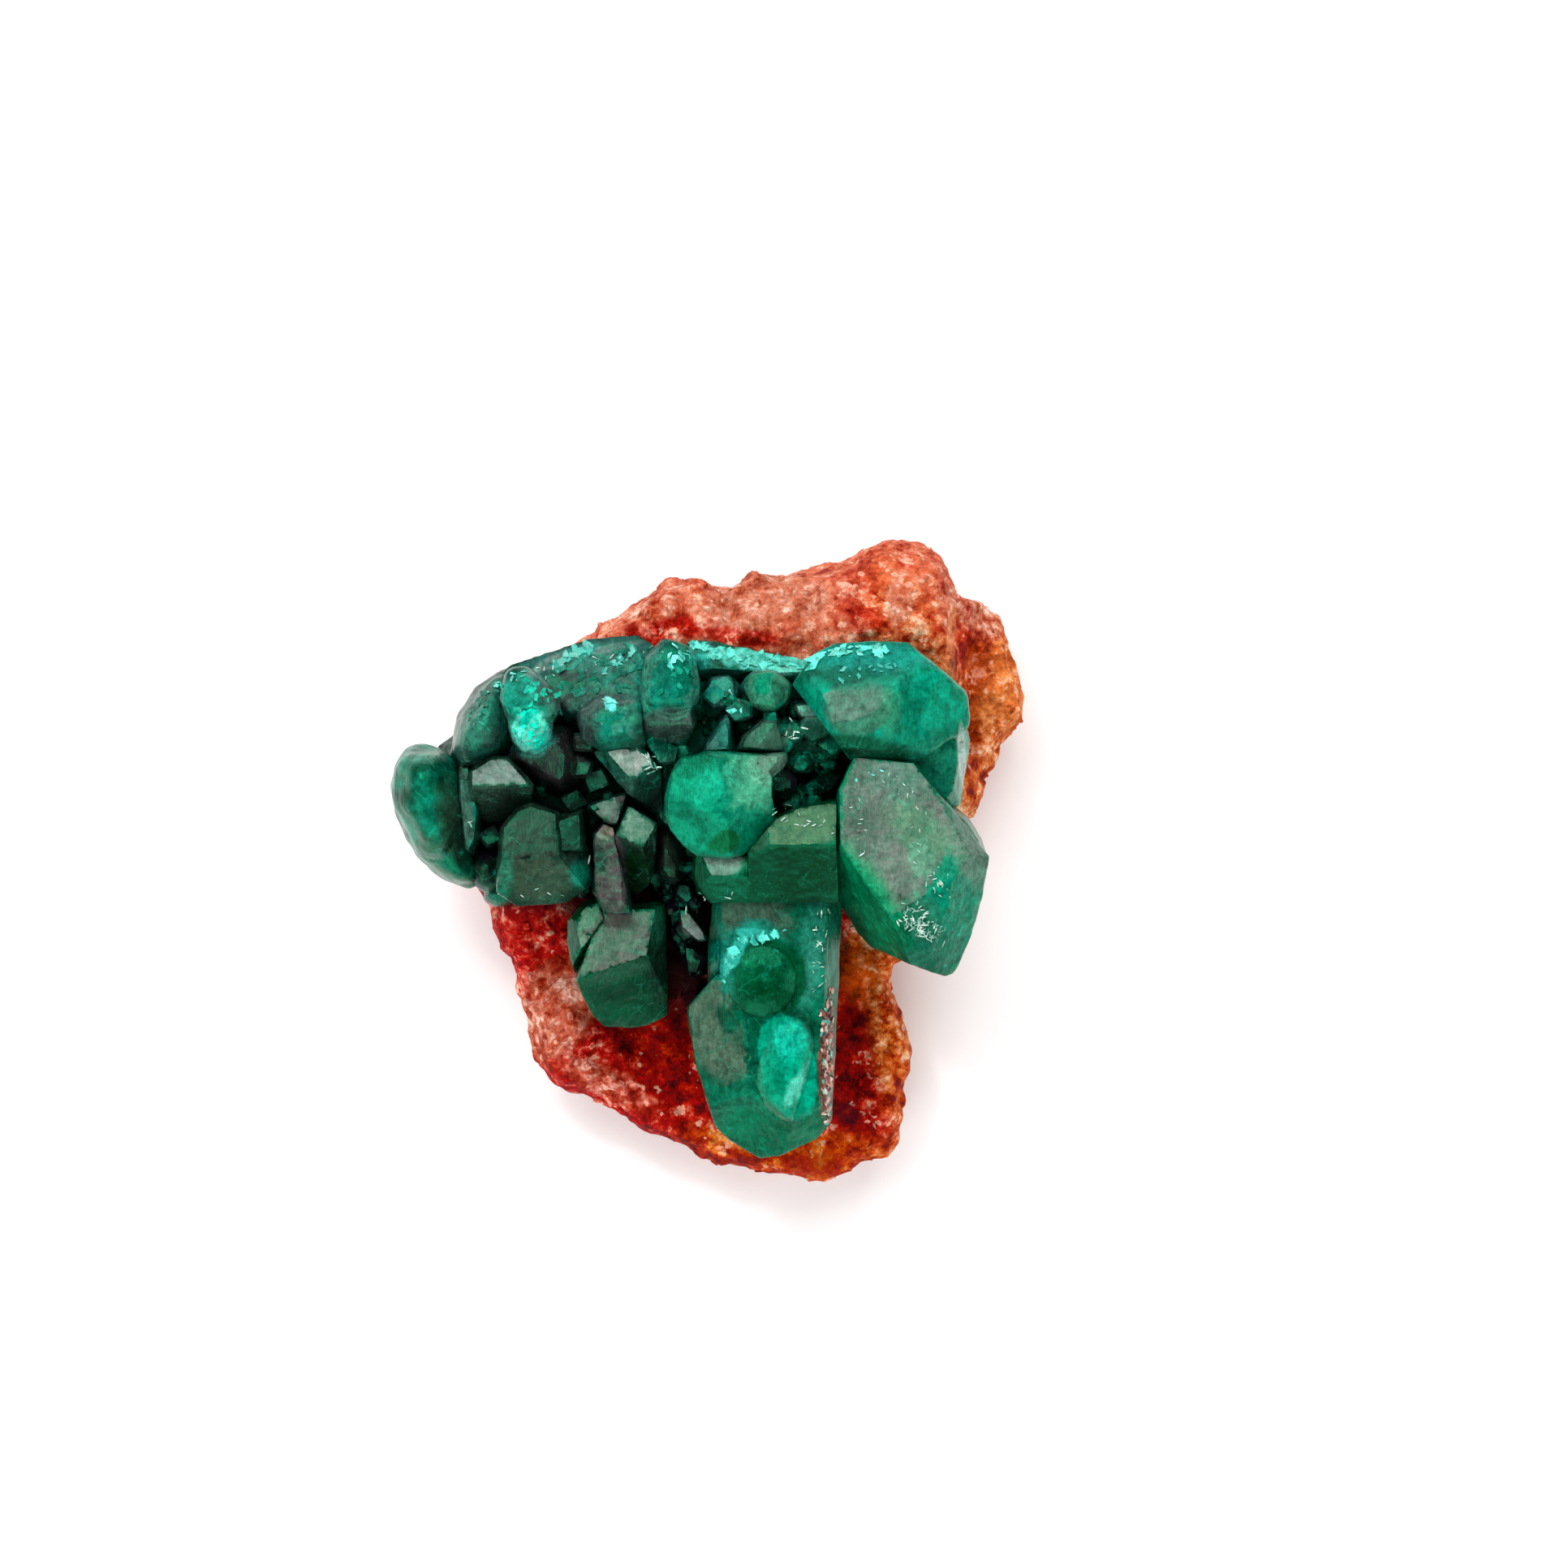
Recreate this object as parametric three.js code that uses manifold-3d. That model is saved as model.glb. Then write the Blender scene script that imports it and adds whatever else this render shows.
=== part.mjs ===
// Dioptase on matrix: a palm-sized mineral specimen that lies on its flat back.
// A band of intergrown green dioptase crystals crosses a lump of red, coarse-grained rock.
// Millimetres, +Z up. X runs along the band, Y runs across it, Z is height above the table.
import * as THREE from "three";
import { mergeVertices } from "three/addons/utils/BufferGeometryUtils.js";
import { ImprovedNoise } from "three/addons/math/ImprovedNoise.js";
import Module from "manifold-3d";

const wasm = await Module();
wasm.setup();

// ---------------------------------------------------------------- driving dimensions
const GAP = 0.3; // clearance along every contact between two solids
const ROCK_CENTRE = [2, 0]; // middle of the rock's footprint
const ROCK_SPOKES = 108; // points round the rock
const ROCK_RINGS = 13; // rings of points from its middle to its shoulder
const BACK_SHARE = 0.86; // size of the flat back, as a share of the footprint
const SHOULDER_SHARE = 0.92; // where the rock's upper face ends and its wall starts
const BLOCK_SIDE = 40; // side of the block a crystal is cut from
const STEEP = 84; // usual slope of a crystal's lower faces, in degrees

const COLOURS = { rock: 0xb5482f, deep: 0x07634a, bright: 0x149a78, grey: 0x4d7a69 };

// ---------------------------------------------------------------- solids
// A closed three.js geometry as a manifold solid.
function solidOf(geometry) {
  const bare = geometry.clone();
  bare.deleteAttribute("normal");
  bare.deleteAttribute("uv");
  const merged = mergeVertices(bare, 1e-4);
  return new wasm.Manifold(
    new wasm.Mesh({
      numProp: 3,
      vertProperties: new Float32Array(merged.attributes.position.array),
      triVerts: new Uint32Array(merged.index.array),
    }),
  );
}

// A manifold solid as a three.js mesh with its own material.
function meshOf(solid, name, colour, roughness) {
  const { vertProperties, triVerts } = solid.getMesh();
  const geometry = new THREE.BufferGeometry();
  geometry.setAttribute("position", new THREE.BufferAttribute(vertProperties, 3));
  geometry.setIndex(new THREE.BufferAttribute(triVerts, 1));
  geometry.computeVertexNormals();
  const mesh = new THREE.Mesh(geometry, new THREE.MeshStandardMaterial({ color: colour, roughness }));
  mesh.name = name;
  return mesh;
}

// The biggest of a solid's separate bodies: a cut can leave scraps.
function biggestBody(solid) {
  const bodies = solid.decompose();
  return bodies.reduce((best, body) => (body.volume() > best.volume() ? body : best));
}

const joined = (solids) => solids.reduce((sum, solid) => sum.add(solid));

// ---------------------------------------------------------------- flat-faced crystals
const tan = (degrees) => Math.tan(THREE.MathUtils.degToRad(degrees));
const DOME_STEPS = [18, 45, 70]; // where a rounded shoulder's three faces touch it, in degrees up

// A crystal is an upright block on its outline, cut back to flat faces.
//   outline  corners clockwise from above, [x, y] or [x, y, slope of the face over the next edge]
//   girdle   height of the outline, which is the crystal's widest level
//   top      height of the top face at the middle of the outline
//   tilt     the top face's rise per millimetre along x and y
//   table    corners of the top face, [x, y, slope of the face that falls from the next edge]
//   dome     in place of slopes, [inset, rise] of a rounded shoulder
//   cuts     more faces, [x, y, z, azimuth, slope]: through the point, falling to the azimuth
//   base     lowest level, and under is the slope of the faces below the girdle
//   grow     moves every face outwards
function crystal(spec) {
  const { outline, table = [], cuts = [], tilt = [0, 0], dome, girdle, top, base } = spec;
  const { slope = STEEP, under = STEEP, grow = 0 } = spec;
  const sum = outline.reduce(([sx, sy], [x, y]) => [sx + x, sy + y], [0, 0]);
  const middle = [sum[0] / outline.length, sum[1] / outline.length];
  const topAt = ([x, y]) => top + tilt[0] * (x - middle[0]) + tilt[1] * (y - middle[1]);

  const block = new THREE.BoxGeometry(BLOCK_SIDE, BLOCK_SIDE, top - base + 20);
  block.translate(middle[0], middle[1], (top + base + 20) / 2 - 5);
  let solid = solidOf(block);
  const trim = (point, inward) => {
    const n = new THREE.Vector3(...inward).normalize();
    solid = solid.trimByPlane([n.x, n.y, n.z], n.dot(new THREE.Vector3(...point)) - grow);
  };

  trim([0, 0, base], [0, 0, 1]);
  trim([...middle, top], [tilt[0], tilt[1], -1]);
  outline.forEach(([x, y, own = slope], i) => {
    const [nextX, nextY] = outline[(i + 1) % outline.length];
    const length = Math.hypot(nextX - x, nextY - y);
    const [inX, inY] = [(nextY - y) / length, (x - nextX) / length];
    trim([x, y, girdle], [inX, inY, 0]);
    trim([x, y, girdle], [inX * tan(under), inY * tan(under), 1]);
    if (dome) {
      const [inset, rise] = dome;
      DOME_STEPS.forEach((degrees) => {
        const angle = THREE.MathUtils.degToRad(degrees);
        const reach = inset * (1 - Math.cos(angle));
        const steepness = (rise * Math.cos(angle)) / (inset * Math.sin(angle));
        const on = [x + inX * reach, y + inY * reach, girdle + rise * Math.sin(angle)];
        trim(on, [inX * steepness, inY * steepness, -1]);
      });
    } else if (table.length === 0 && own < 89) {
      trim([x, y, girdle], [inX * tan(own), inY * tan(own), -1]);
    }
  });
  table.forEach(([x, y, own], i) => {
    const [nextX, nextY] = table[(i + 1) % table.length];
    const length = Math.hypot(nextX - x, nextY - y);
    const [inX, inY] = [(nextY - y) / length, (x - nextX) / length];
    const start = new THREE.Vector3(x, y, topAt([x, y]));
    const edge = new THREE.Vector3(nextX, nextY, topAt([nextX, nextY])).sub(start);
    const inward = new THREE.Vector3(inX, inY, tan(own)).cross(edge).negate();
    if (inward.z > 0) inward.negate();
    trim(start.toArray(), inward.toArray());
  });
  cuts.forEach(([x, y, z, azimuth, fall]) => {
    const angle = THREE.MathUtils.degToRad(azimuth);
    trim([x, y, z], [-Math.cos(angle) * tan(fall), -Math.sin(angle) * tan(fall), -1]);
  });
  return solid;
}

// Corners of a rounded crystal, clockwise.
function ring(x, y, rx, ry, count, turn = 0) {
  return Array.from({ length: count }, (_, i) => {
    const angle = THREE.MathUtils.degToRad(turn) - (i / count) * 2 * Math.PI;
    return [x + rx * Math.cos(angle), y + ry * Math.sin(angle)];
  });
}

// ---------------------------------------------------------------- the long prism
// It lies flat and points to the near side, with a long grey face down its left side.
const LONG_PRISM = [
  {
    outline: [
      [0.6, -2], [10.7, -2], [10.5, -6], [10, -20.7], [8.6, -22.3], [5.5, -23.7], [4.1, -23.9],
      [1.8, -22.5], [0.5, -21.3], [-0.1, -18.8], [-0.2, -9],
    ],
    table: [
      [1, -2, 66], [9.4, -2, 66], [9, -19.4, 46], [6.6, -20.6, 40], [3.8, -18.9, 21], [1.3, -8.6, 70],
    ],
    girdle: 14.5, top: 20.4, tilt: [0, 0.03], base: 7,
  },
  // The left face stands out past the prism's far half, like a step.
  {
    outline: [
      [-1.3, -9], [2.6, -8.9], [3.8, -18.9], [1.8, -22.5], [0.5, -21.3], [-0.3, -18.8], [-1.1, -16.1],
      [-1.6, -13], [-1.8, -10.4],
    ],
    cuts: [[2.5, -13.7, 20.4, 193.6, 21], [2.6, -19, 19.8, 262, 44]],
    girdle: 14.5, top: 21, tilt: [0, 0.03], base: 7, slope: 88,
  },
  // A round crystal on its back, and a long lens-shaped one beyond it.
  { outline: ring(4.3, -9.4, 2.9, 3, 11, 12), girdle: 19.6, top: 22.7, base: 14, dome: [2.4, 3.2] },
  {
    outline: [
      [3.8, -16.7], [4.6, -14.3], [5.5, -12.9], [6.8, -12.1], [8.2, -12], [8.6, -14.7],
      [8.2, -16.7], [7.1, -19.7], [6.6, -20.8], [5.9, -20.6], [4.5, -19.5], [3.8, -17.9],
    ],
    girdle: 19.7, top: 21.6, tilt: [-0.06, 0.02], base: 14, dome: [1.7, 1.9],
  },
];

// ---------------------------------------------------------------- the large crystal on the right
const RIGHT_LARGE = [
  {
    outline: [
      [11.9, 8.7], [16.7, 8.1], [22.5, 0.7], [22, -2.6], [21, -6], [20.1, -8.1], [19.7, -8.7],
      [18.9, -8.9], [16.5, -7.9], [15.1, -7.4], [11.9, -6], [10.5, -3.4], [10.4, 4.3], [10.7, 6.1],
    ],
    table: [
      [11.8, 8.6, 84], [16.5, 8.1, 78], [18.5, 5.5, 60], [21, 0.9, 52], [18.6, -2.6, 50],
      [15.6, -5.8, 63], [11.8, 0.1, 75], [10.8, 1.5, 85], [10.7, 6.1, 85],
    ],
    cuts: [[17.4, -0.9, 26.3, 318, 31], [16.4, -4.4, 26.4, 296, 44]],
    girdle: 16.5, top: 25.6, tilt: [-0.04, -0.26], base: 8.5, under: 62,
  },
  // Its right shoulder.
  {
    outline: [[18.6, 5.3], [19.9, 4.7], [21.1, 3.6], [22.1, 2], [22.5, 0.7], [22, -2.6], [18.3, -2.3]],
    girdle: 17, top: 21.6, tilt: [-0.9, -0.5], base: 11, under: 62,
  },
];

// ---------------------------------------------------------------- the upper right crystal and its wedge
const UPPER_RIGHT = [
  {
    outline: [
      [7, 14.7], [8.5, 16.9], [10.3, 17.8], [13.2, 18], [16.1, 17.9], [17.8, 16.5], [20.8, 13.9],
      [21, 12.1], [20.9, 11.3], [17.5, 9], [15.7, 8.1], [11.8, 8.5],
    ],
    table: [
      [9.3, 13.9, 36], [13.7, 15.1, 40], [17, 15.4, 46], [19.5, 13.9, 60], [20, 12.3, 62],
      [17.7, 10.8, 56], [14.5, 10.5, 62], [10.5, 10.4, 56],
    ],
    cuts: [[14.9, 12.4, 25, 8, 17], [17.4, 12.4, 24.2, 350, 34], [15.4, 11.6, 24.8, 285, 30]],
    girdle: 17.5, top: 25, tilt: [0, -0.24], base: 11,
  },
  {
    outline: [[15.3, 8.7], [20.8, 11.5], [21.1, 10], [20.6, 7], [20.3, 5], [19.2, 4.9], [17.7, 6.3]],
    table: [[16.4, 8.6, 70], [19.8, 10.2, 72], [20.1, 9, 74], [19.7, 6.2, 66], [19.3, 5.6, 56]],
    girdle: 16.5, top: 21, tilt: [0.12, 0.28], base: 10.5,
  },
];

// ---------------------------------------------------------------- the bright crystal in the middle
const CENTRE_BRIGHT = [
  {
    outline: [
      [-2.9, 7.4], [-2.1, 8.5], [-0.2, 9], [1.7, 9], [4.2, 8.6], [4.9, 7], [5.1, 3.9], [3.7, 2],
      [2.7, 1.1], [1.5, 0.7], [-0.9, 0.9], [-2.1, 1.7], [-2.9, 2.9], [-3.4, 4.3], [-3.4, 5.6],
    ],
    cuts: [[2.4, 5.4, 27, 20, 11], [2.2, 2.6, 26.2, 300, 42]],
    girdle: 22.6, top: 27, tilt: [-0.02, -0.1], base: 13.5, dome: [1.9, 4.2],
  },
  {
    outline: [[2.6, 9, 80], [6.2, 9.1, 80], [6.1, 8.4, 72], [4.8, 6.2, 70], [4, 5, 70]],
    girdle: 21, top: 25.2, tilt: [-0.25, -0.05], base: 16,
  },
];

// ---------------------------------------------------------------- the left end
// A rounded crystal that overhangs the rock, with a smaller one under its near end.
const LEFT_END = [
  {
    outline: [
      [-26.1, 7.8], [-25.5, 9], [-24.7, 9.7], [-23.7, 9.8], [-22.2, 9.5], [-21.4, 8.8], [-20.7, 7.5],
      [-20.2, 5.2], [-19.9, 2.6], [-20.6, 0.8], [-23, 0], [-24.8, 2.1], [-25.8, 4.5], [-26.1, 6.2],
    ],
    girdle: 14.2, top: 20.4, tilt: [0.06, 0], base: 8.4, dome: [3.2, 6.2], under: 60,
  },
  {
    outline: [
      [-24.5, 2.3], [-22, 3.6], [-20.2, 2.6], [-19, -0.8], [-19.2, -1.8], [-20.1, -1.8],
      [-21.5, -1.4], [-22.7, -0.7], [-23.8, 0.4],
    ],
    girdle: 12.2, top: 17.4, base: 8, dome: [2.2, 5.2], under: 60,
  },
];

// ---------------------------------------------------------------- blocks beside the left end
const LEFT_BLOCKS = [
  {
    outline: [
      [-16.9, 3], [-15.6, 4.5], [-14.5, 4.9], [-12.5, 4.1], [-10, 1.1], [-9.7, -1.4],
      [-11.8, -2.9], [-15.7, -3.2], [-17.2, -2.1], [-17.3, 0.2],
    ],
    table: [
      [-16.6, 2.9, 76], [-15.5, 4.2, 76], [-14.6, 4.6, 76], [-12.7, 4, 58], [-12.3, 0.7, 38],
      [-16.7, 0.5, 80],
    ],
    girdle: 14, top: 21.8, tilt: [0, -0.22], base: 9.5,
  },
  {
    outline: [[-12.7, 3.8], [-10.4, 4.5], [-10.1, 1], [-12.4, 0.6]],
    girdle: 16, top: 21, tilt: [-0.12, -0.25], base: 11,
  },
  {
    outline: [
      [-19.3, 7.8], [-17.7, 8.7], [-16.6, 8.7], [-14.6, 6.5], [-15, 4.5], [-17.5, 3.3], [-19, 4],
      [-19.5, 6.3],
    ],
    table: [[-19.2, 7.5, 80], [-17.7, 8.5, 80], [-16.7, 8.5, 76], [-15, 6.6, 62], [-19.2, 6.5, 80]],
    girdle: 15, top: 21.2, tilt: [0.03, -0.45], base: 10,
  },
  { outline: ring(-18.4, -0.5, 1.3, 1.7, 7, 20), girdle: 13.4, top: 16.4, base: 8.5, dome: [1, 2.8] },
  { outline: ring(-17.4, -2.5, 1.2, 0.9, 7, 0), girdle: 11.5, top: 13.8, base: 8, dome: [0.8, 2.2] },
];

// ---------------------------------------------------------------- the pair on the near left
const LOWER_LEFT = [
  {
    outline: [
      [-8.6, -3.8], [-3.9, -3.1], [-3.8, -6.7], [-3.7, -12.3], [-5.3, -13.1], [-6.7, -13.3],
      [-8.7, -13.1], [-9.5, -12.3], [-10.3, -10.6], [-10.8, -9.3], [-10, -7.3],
    ],
    table: [[-8.6, -3.9, 80], [-4.6, -3.8, 60], [-5.3, -7.4, 41], [-10.6, -9.2, 80], [-10, -7.3, 80]],
    girdle: 11.5, top: 18.8, tilt: [0, -0.24], base: 6.5,
  },
  {
    outline: [
      [-11.5, -4.7], [-10.3, -3.3], [-9.3, -2.9], [-8.5, -3.7], [-8.7, -4.5], [-10.8, -9.3],
      [-11.1, -8.6], [-11.5, -6.3],
    ],
    table: [[-10.9, -4.6, 60], [-10.1, -3.6, 70], [-9.2, -3.3, 80], [-8.9, -4.4, 80], [-10.5, -6.7, 58]],
    girdle: 12.5, top: 18.2, tilt: [0.1, -0.25], base: 7,
  },
];

// ---------------------------------------------------------------- blocks below the middle
// A roof-shaped block whose front face stands over the long prism, and a lower one to its left.
const MIDDLE_BLOCK = [
  {
    outline: [[3, 1.2], [5.3, 3.9], [7.3, 4.8], [10.5, 5.3], [10.6, -3.1], [3, -3.1]],
    cuts: [[7, 1.7, 25, 90, 24], [7, 1.7, 25, 269, 36], [3.9, 1, 24.6, 150, 40]],
    girdle: 17, top: 25.6, base: 13.5, slope: 87,
  },
  {
    outline: [[-1.2, 0.9], [3.6, 0.9], [3.6, -3.1], [0.2, -3.1], [-0.7, -2.2], [-1.3, -1]],
    cuts: [[1.2, -0.8, 22.8, 268, 32], [-0.5, -0.6, 22.4, 190, 36]],
    girdle: 17, top: 22.9, tilt: [0.02, -0.22], base: 13, slope: 87,
  },
];

// ---------------------------------------------------------------- columns left of the middle
const COLUMNS = [
  {
    outline: [[-9.5, 2.5], [-8.7, 3.4], [-7.8, 3.1], [-6.3, -4.2], [-8.7, -3.9], [-9.5, -2.3]],
    cuts: [[-8.6, 2.1, 20.6, 75, 40], [-7.4, 0.6, 20.6, 8, 58], [-8, -3.4, 20.6, 262, 40]],
    girdle: 14.5, top: 20.8, tilt: [0.05, -0.1], base: 9, slope: 87,
  },
  {
    outline: [[-7.5, 2.6], [-6.6, 4.6], [-4.5, 3.3], [-4.7, 0.4], [-5.2, -1.6], [-6.3, -2.6], [-7.3, -0.6]],
    table: [[-6.5, 4.6, 84], [-4.5, 3.3, 66], [-5.5, 1.5, 58], [-7.4, 2.4, 86]],
    girdle: 14.5, top: 22, tilt: [0, -0.34], base: 9,
  },
  {
    outline: [[-4.5, 2.7], [-3.2, 3], [-2.4, 2], [-1.9, 0.3], [-2.2, -1.5], [-3.4, -1.9], [-4.5, -0.8]],
    cuts: [[-3.1, 0.4, 19, 20, 52], [-3.4, 1.6, 19, 130, 40]],
    girdle: 14, top: 19.2, tilt: [-0.2, 0.12], base: 9.5, slope: 80,
  },
  {
    outline: [[-3.2, -0.9], [-1.2, -1.2], [-0.8, -3], [-1.9, -4], [-3.3, -2.7]],
    girdle: 12, top: 16.6, tilt: [0.3, 0.1], base: 8.5, slope: 80,
  },
  {
    outline: [[-2.4, -3.8], [-1.6, -4], [-0.9, -5.2], [-0.3, -5.9], [-0.3, -6.2], [-1, -6.2], [-2.2, -5.1]],
    girdle: 13.8, top: 17.2, tilt: [-0.1, -0.3], base: 8, slope: 88,
  },
  {
    outline: [[-2, -6.9], [-1.3, -7.1], [-0.7, -7.7], [-1.1, -8.7], [-1.7, -9.2]],
    girdle: 11.6, top: 15, tilt: [0.1, -0.25], base: 7.5, slope: 88,
  },
];

// ---------------------------------------------------------------- the band behind the middle
const BAND_FRONT = [
  // A pale crystal and a three-cornered one beside it.
  {
    outline: [[-9.2, 9.1], [-8.2, 9.4], [-5.7, 9.6], [-4.2, 7.7], [-4.1, 4.3], [-6.3, 5.8]],
    table: [[-8.2, 9.1, 80], [-5.7, 9.4, 60], [-4.9, 8.1, 52], [-6.2, 6.9, 44]],
    girdle: 16, top: 21.8, tilt: [0, -0.36], base: 12,
  },
  {
    outline: [[-9.9, 4.8], [-6.8, 5.8], [-7.6, 3.3], [-8.6, 3.6]],
    girdle: 16, top: 20.2, tilt: [-0.1, -0.3], base: 12, slope: 88,
  },
  // A dark rough crystal with three broad faces.
  {
    outline: [
      [-16.8, 9.3], [-15.9, 10.2], [-12.3, 11.9], [-11.2, 11.5], [-9.8, 8.6], [-10.3, 6.7],
      [-12.1, 5.3], [-14.3, 6.5], [-16.7, 8.2],
    ],
    cuts: [[-11.9, 8.4, 21.4, 225, 32], [-11.9, 8.4, 21.4, 330, 50], [-13.2, 10.4, 22, 128, 30]],
    girdle: 14.5, top: 22.8, base: 11, slope: 76,
  },
  // Flat crystals between the pale crystal and the band.
  {
    outline: [[-10.6, 12.2], [-8.9, 13.8], [-5.4, 13.4], [-5.4, 9.5], [-8.2, 9.2], [-10.2, 10.3]],
    table: [[-9.9, 12, 60], [-8.6, 13, 70], [-5.6, 12.9, 80], [-5.6, 11, 48], [-8.6, 10.6, 50]],
    girdle: 17, top: 22.4, tilt: [0.02, -0.14], base: 12,
  },
  {
    outline: [[-5.3, 13.2], [-1.5, 13.2], [-1.1, 11.9], [-2.1, 9.8], [-4.8, 9.7], [-5.3, 11]],
    table: [[-5.2, 13, 80], [-1.5, 13, 80], [-1.5, 11.5, 58], [-5, 11.5, 80]],
    girdle: 17, top: 22.6, tilt: [0, 0.1], base: 12,
  },
  // Between the band and the bright crystal.
  {
    outline: [[-0.9, 9.1], [-0.2, 10.2], [0.6, 12.1], [1.3, 12.8], [1.9, 12], [2, 8.9]],
    cuts: [[0.9, 10.6, 23, 200, 46], [0.9, 10.6, 23, 10, 26]],
    girdle: 17, top: 23.4, base: 12,
  },
  {
    outline: [[1.9, 9.1], [2.7, 10.7], [4.1, 12], [5.8, 12.1], [6.3, 9.6], [6.1, 9]],
    cuts: [[4.4, 10.6, 23.2, 140, 24], [4.6, 10.4, 23.2, 330, 42]],
    girdle: 17, top: 23.4, tilt: [0, -0.1], base: 12,
  },
  {
    outline: [[6.4, 13.3], [8.6, 13.4], [9.6, 12.7], [8.9, 11.7], [7.3, 11.8]],
    girdle: 17, top: 21.9, tilt: [0, -0.2], base: 12,
  },
  {
    outline: [[-0.5, 13.4], [0, 15.3], [1.6, 15.5], [2.6, 14.4], [2.2, 13], [0.9, 12.6]],
    girdle: 17, top: 21.2, tilt: [0.1, -0.2], base: 12,
  },
];

const BAND_BACK = [
  // Rounded crystals at the left: a dull one, then two bright ones.
  {
    outline: [
      [-21.3, 9.2], [-21, 10.9], [-20.4, 12.4], [-19.2, 14.1], [-17.9, 15.3], [-16.8, 15.9],
      [-16.2, 14], [-16.2, 11.5], [-16.7, 9.3], [-18.3, 8.1], [-20.3, 7.7],
    ],
    girdle: 14.4, top: 21, tilt: [0.08, -0.06], base: 9.4, dome: [3.3, 6.5],
  },
  {
    outline: [
      [-17, 13.4], [-16.3, 15.7], [-14.7, 15.9], [-12.8, 14.3], [-12.3, 12.6], [-13.2, 11.5], [-15.8, 11.3],
    ],
    girdle: 20.4, top: 22.9, tilt: [0.06, -0.16], base: 12, dome: [1.2, 2.4],
  },
  {
    outline: [
      [-16.1, 11.6], [-15.6, 12.4], [-13.8, 12.4], [-13.1, 11.4], [-13.2, 9.9], [-13.9, 9.2],
      [-15.1, 9.3], [-15.9, 10.2],
    ],
    girdle: 20.6, top: 22.6, tilt: [0, -0.1], base: 12, dome: [0.8, 1.9],
  },
  // The long ridge, whose broad far face slopes down to the rock.
  {
    outline: [
      [-16.8, 16, 30], [-9.9, 18.3, 30], [-6, 18.6, 34], [-4.4, 17.6, 80], [-4.6, 12.8, 80],
      [-8, 12, 74], [-12.4, 11.8, 74], [-15.4, 14.6, 60],
    ],
    girdle: 16.8, top: 22.2, tilt: [0.03, -0.2], base: 11,
  },
  {
    outline: [
      [-5.4, 15], [-5.3, 16.9], [-3.6, 18.3], [-1.5, 17.4], [-0.9, 14.5], [-1.2, 12.9], [-2.6, 12.5],
      [-5.3, 12.9],
    ],
    cuts: [[-3.2, 16.2, 24, 95, 26]],
    girdle: 20.4, top: 24, tilt: [0.04, -0.08], base: 12, dome: [1.2, 3.4],
  },
  // A thin crust along the rock to the right.
  {
    outline: [
      [-1.8, 18.5, 44], [0.6, 18, 44], [8.9, 17.1, 46], [9.2, 15.8, 60], [6.6, 15.2, 68], [-1, 15.4, 68],
    ],
    girdle: 17.2, top: 20.2, tilt: [0, 0.08], base: 12,
  },
  {
    outline: [[2.6, 14.6], [3.7, 15.5], [5.1, 15.5], [6.5, 14.6], [6.3, 13.3], [4.9, 12.5], [3.7, 12.8]],
    girdle: 20.4, top: 22.7, tilt: [0.04, -0.2], base: 12, dome: [0.9, 2.2],
  },
  // A thin upright one against the left end, and the foot between the two.
  {
    outline: [[-20.6, 8.5], [-19.6, 7.9], [-18.8, 4.5], [-19, 2.3], [-19.5, 0.9], [-20.1, 1.3], [-20.6, 5.4]],
    girdle: 15, top: 18.8, tilt: [0.3, 0.05], base: 10,
  },
  {
    outline: [[-22.3, 9.6], [-20.7, 10.9], [-19.6, 9.2], [-20.6, 7.6], [-21.8, 8.2]],
    girdle: 11.5, top: 15, base: 9.4, slope: 60,
  },
];

// The bed that the band's crystals share.
const BED = [
  {
    outline: [[-19.6, 8.6], [-15, 13.4], [-4, 15], [-3.6, 4], [-10, -2.6], [-15.8, -2.2], [-19, 3]],
    girdle: 13, top: 14.6, tilt: [0.03, 0.14], base: 10.5, slope: 60,
  },
  {
    outline: [[-6, 16], [9.2, 16], [10.8, 9.6], [10.2, 3.6], [5, -2], [-4, -3.4], [-8, 2]],
    girdle: 13.4, top: 15.8, tilt: [0, 0.2], base: 10.5, slope: 60,
  },
  {
    outline: [[-4.3, 0], [-0.6, 0], [-0.5, -8.9], [-1.4, -9.4], [-3.4, -6], [-4, -3]],
    girdle: 11.8, top: 13.4, tilt: [0, 0.25], base: 8, slope: 70,
  },
];

// Druse: small crystals that fill the hollows, [x, y, radius, top, sides].
const DRUSE = [
  [6.9, 10.8, 1, 21.4, 4], [8.5, 11.2, 1.3, 21.6, 5], [10, 9.9, 1.3, 20.6, 4], [7.9, 9.4, 1.2, 20.2, 5],
  [9.3, 8.7, 1, 19.4, 4], [7, 8.4, 1.1, 20.2, 5], [9.5, 7, 1.2, 18.6, 4], [8.1, 6.6, 1, 18.2, 5],
  [6.1, 9.8, 0.8, 21.4, 4], [5.7, 6.6, 1.3, 22, 8], [-10.7, 8, 1.1, 19.2, 5], [-9.3, 6.9, 1.2, 18, 4],
  [-3.6, 9.1, 1.1, 20.8, 5], [-2.5, 9.3, 1, 20, 4], [-4.3, 10, 0.9, 21, 5], [-18, 2.3, 1, 16.4, 4],
  [2.5, 12.7, 1.1, 22, 5], [-11.2, 5.2, 1.1, 17.4, 4], [-3.2, 4.2, 1.2, 18, 5], [-2, -5.4, 1, 14.4, 4],
  [6.6, 5.2, 0.9, 19.4, 4], [-1.2, -7.9, 0.8, 14.6, 5], [-10.3, 10, 0.9, 20.4, 4], [0.4, 13.8, 1, 21.6, 4],
];

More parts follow.
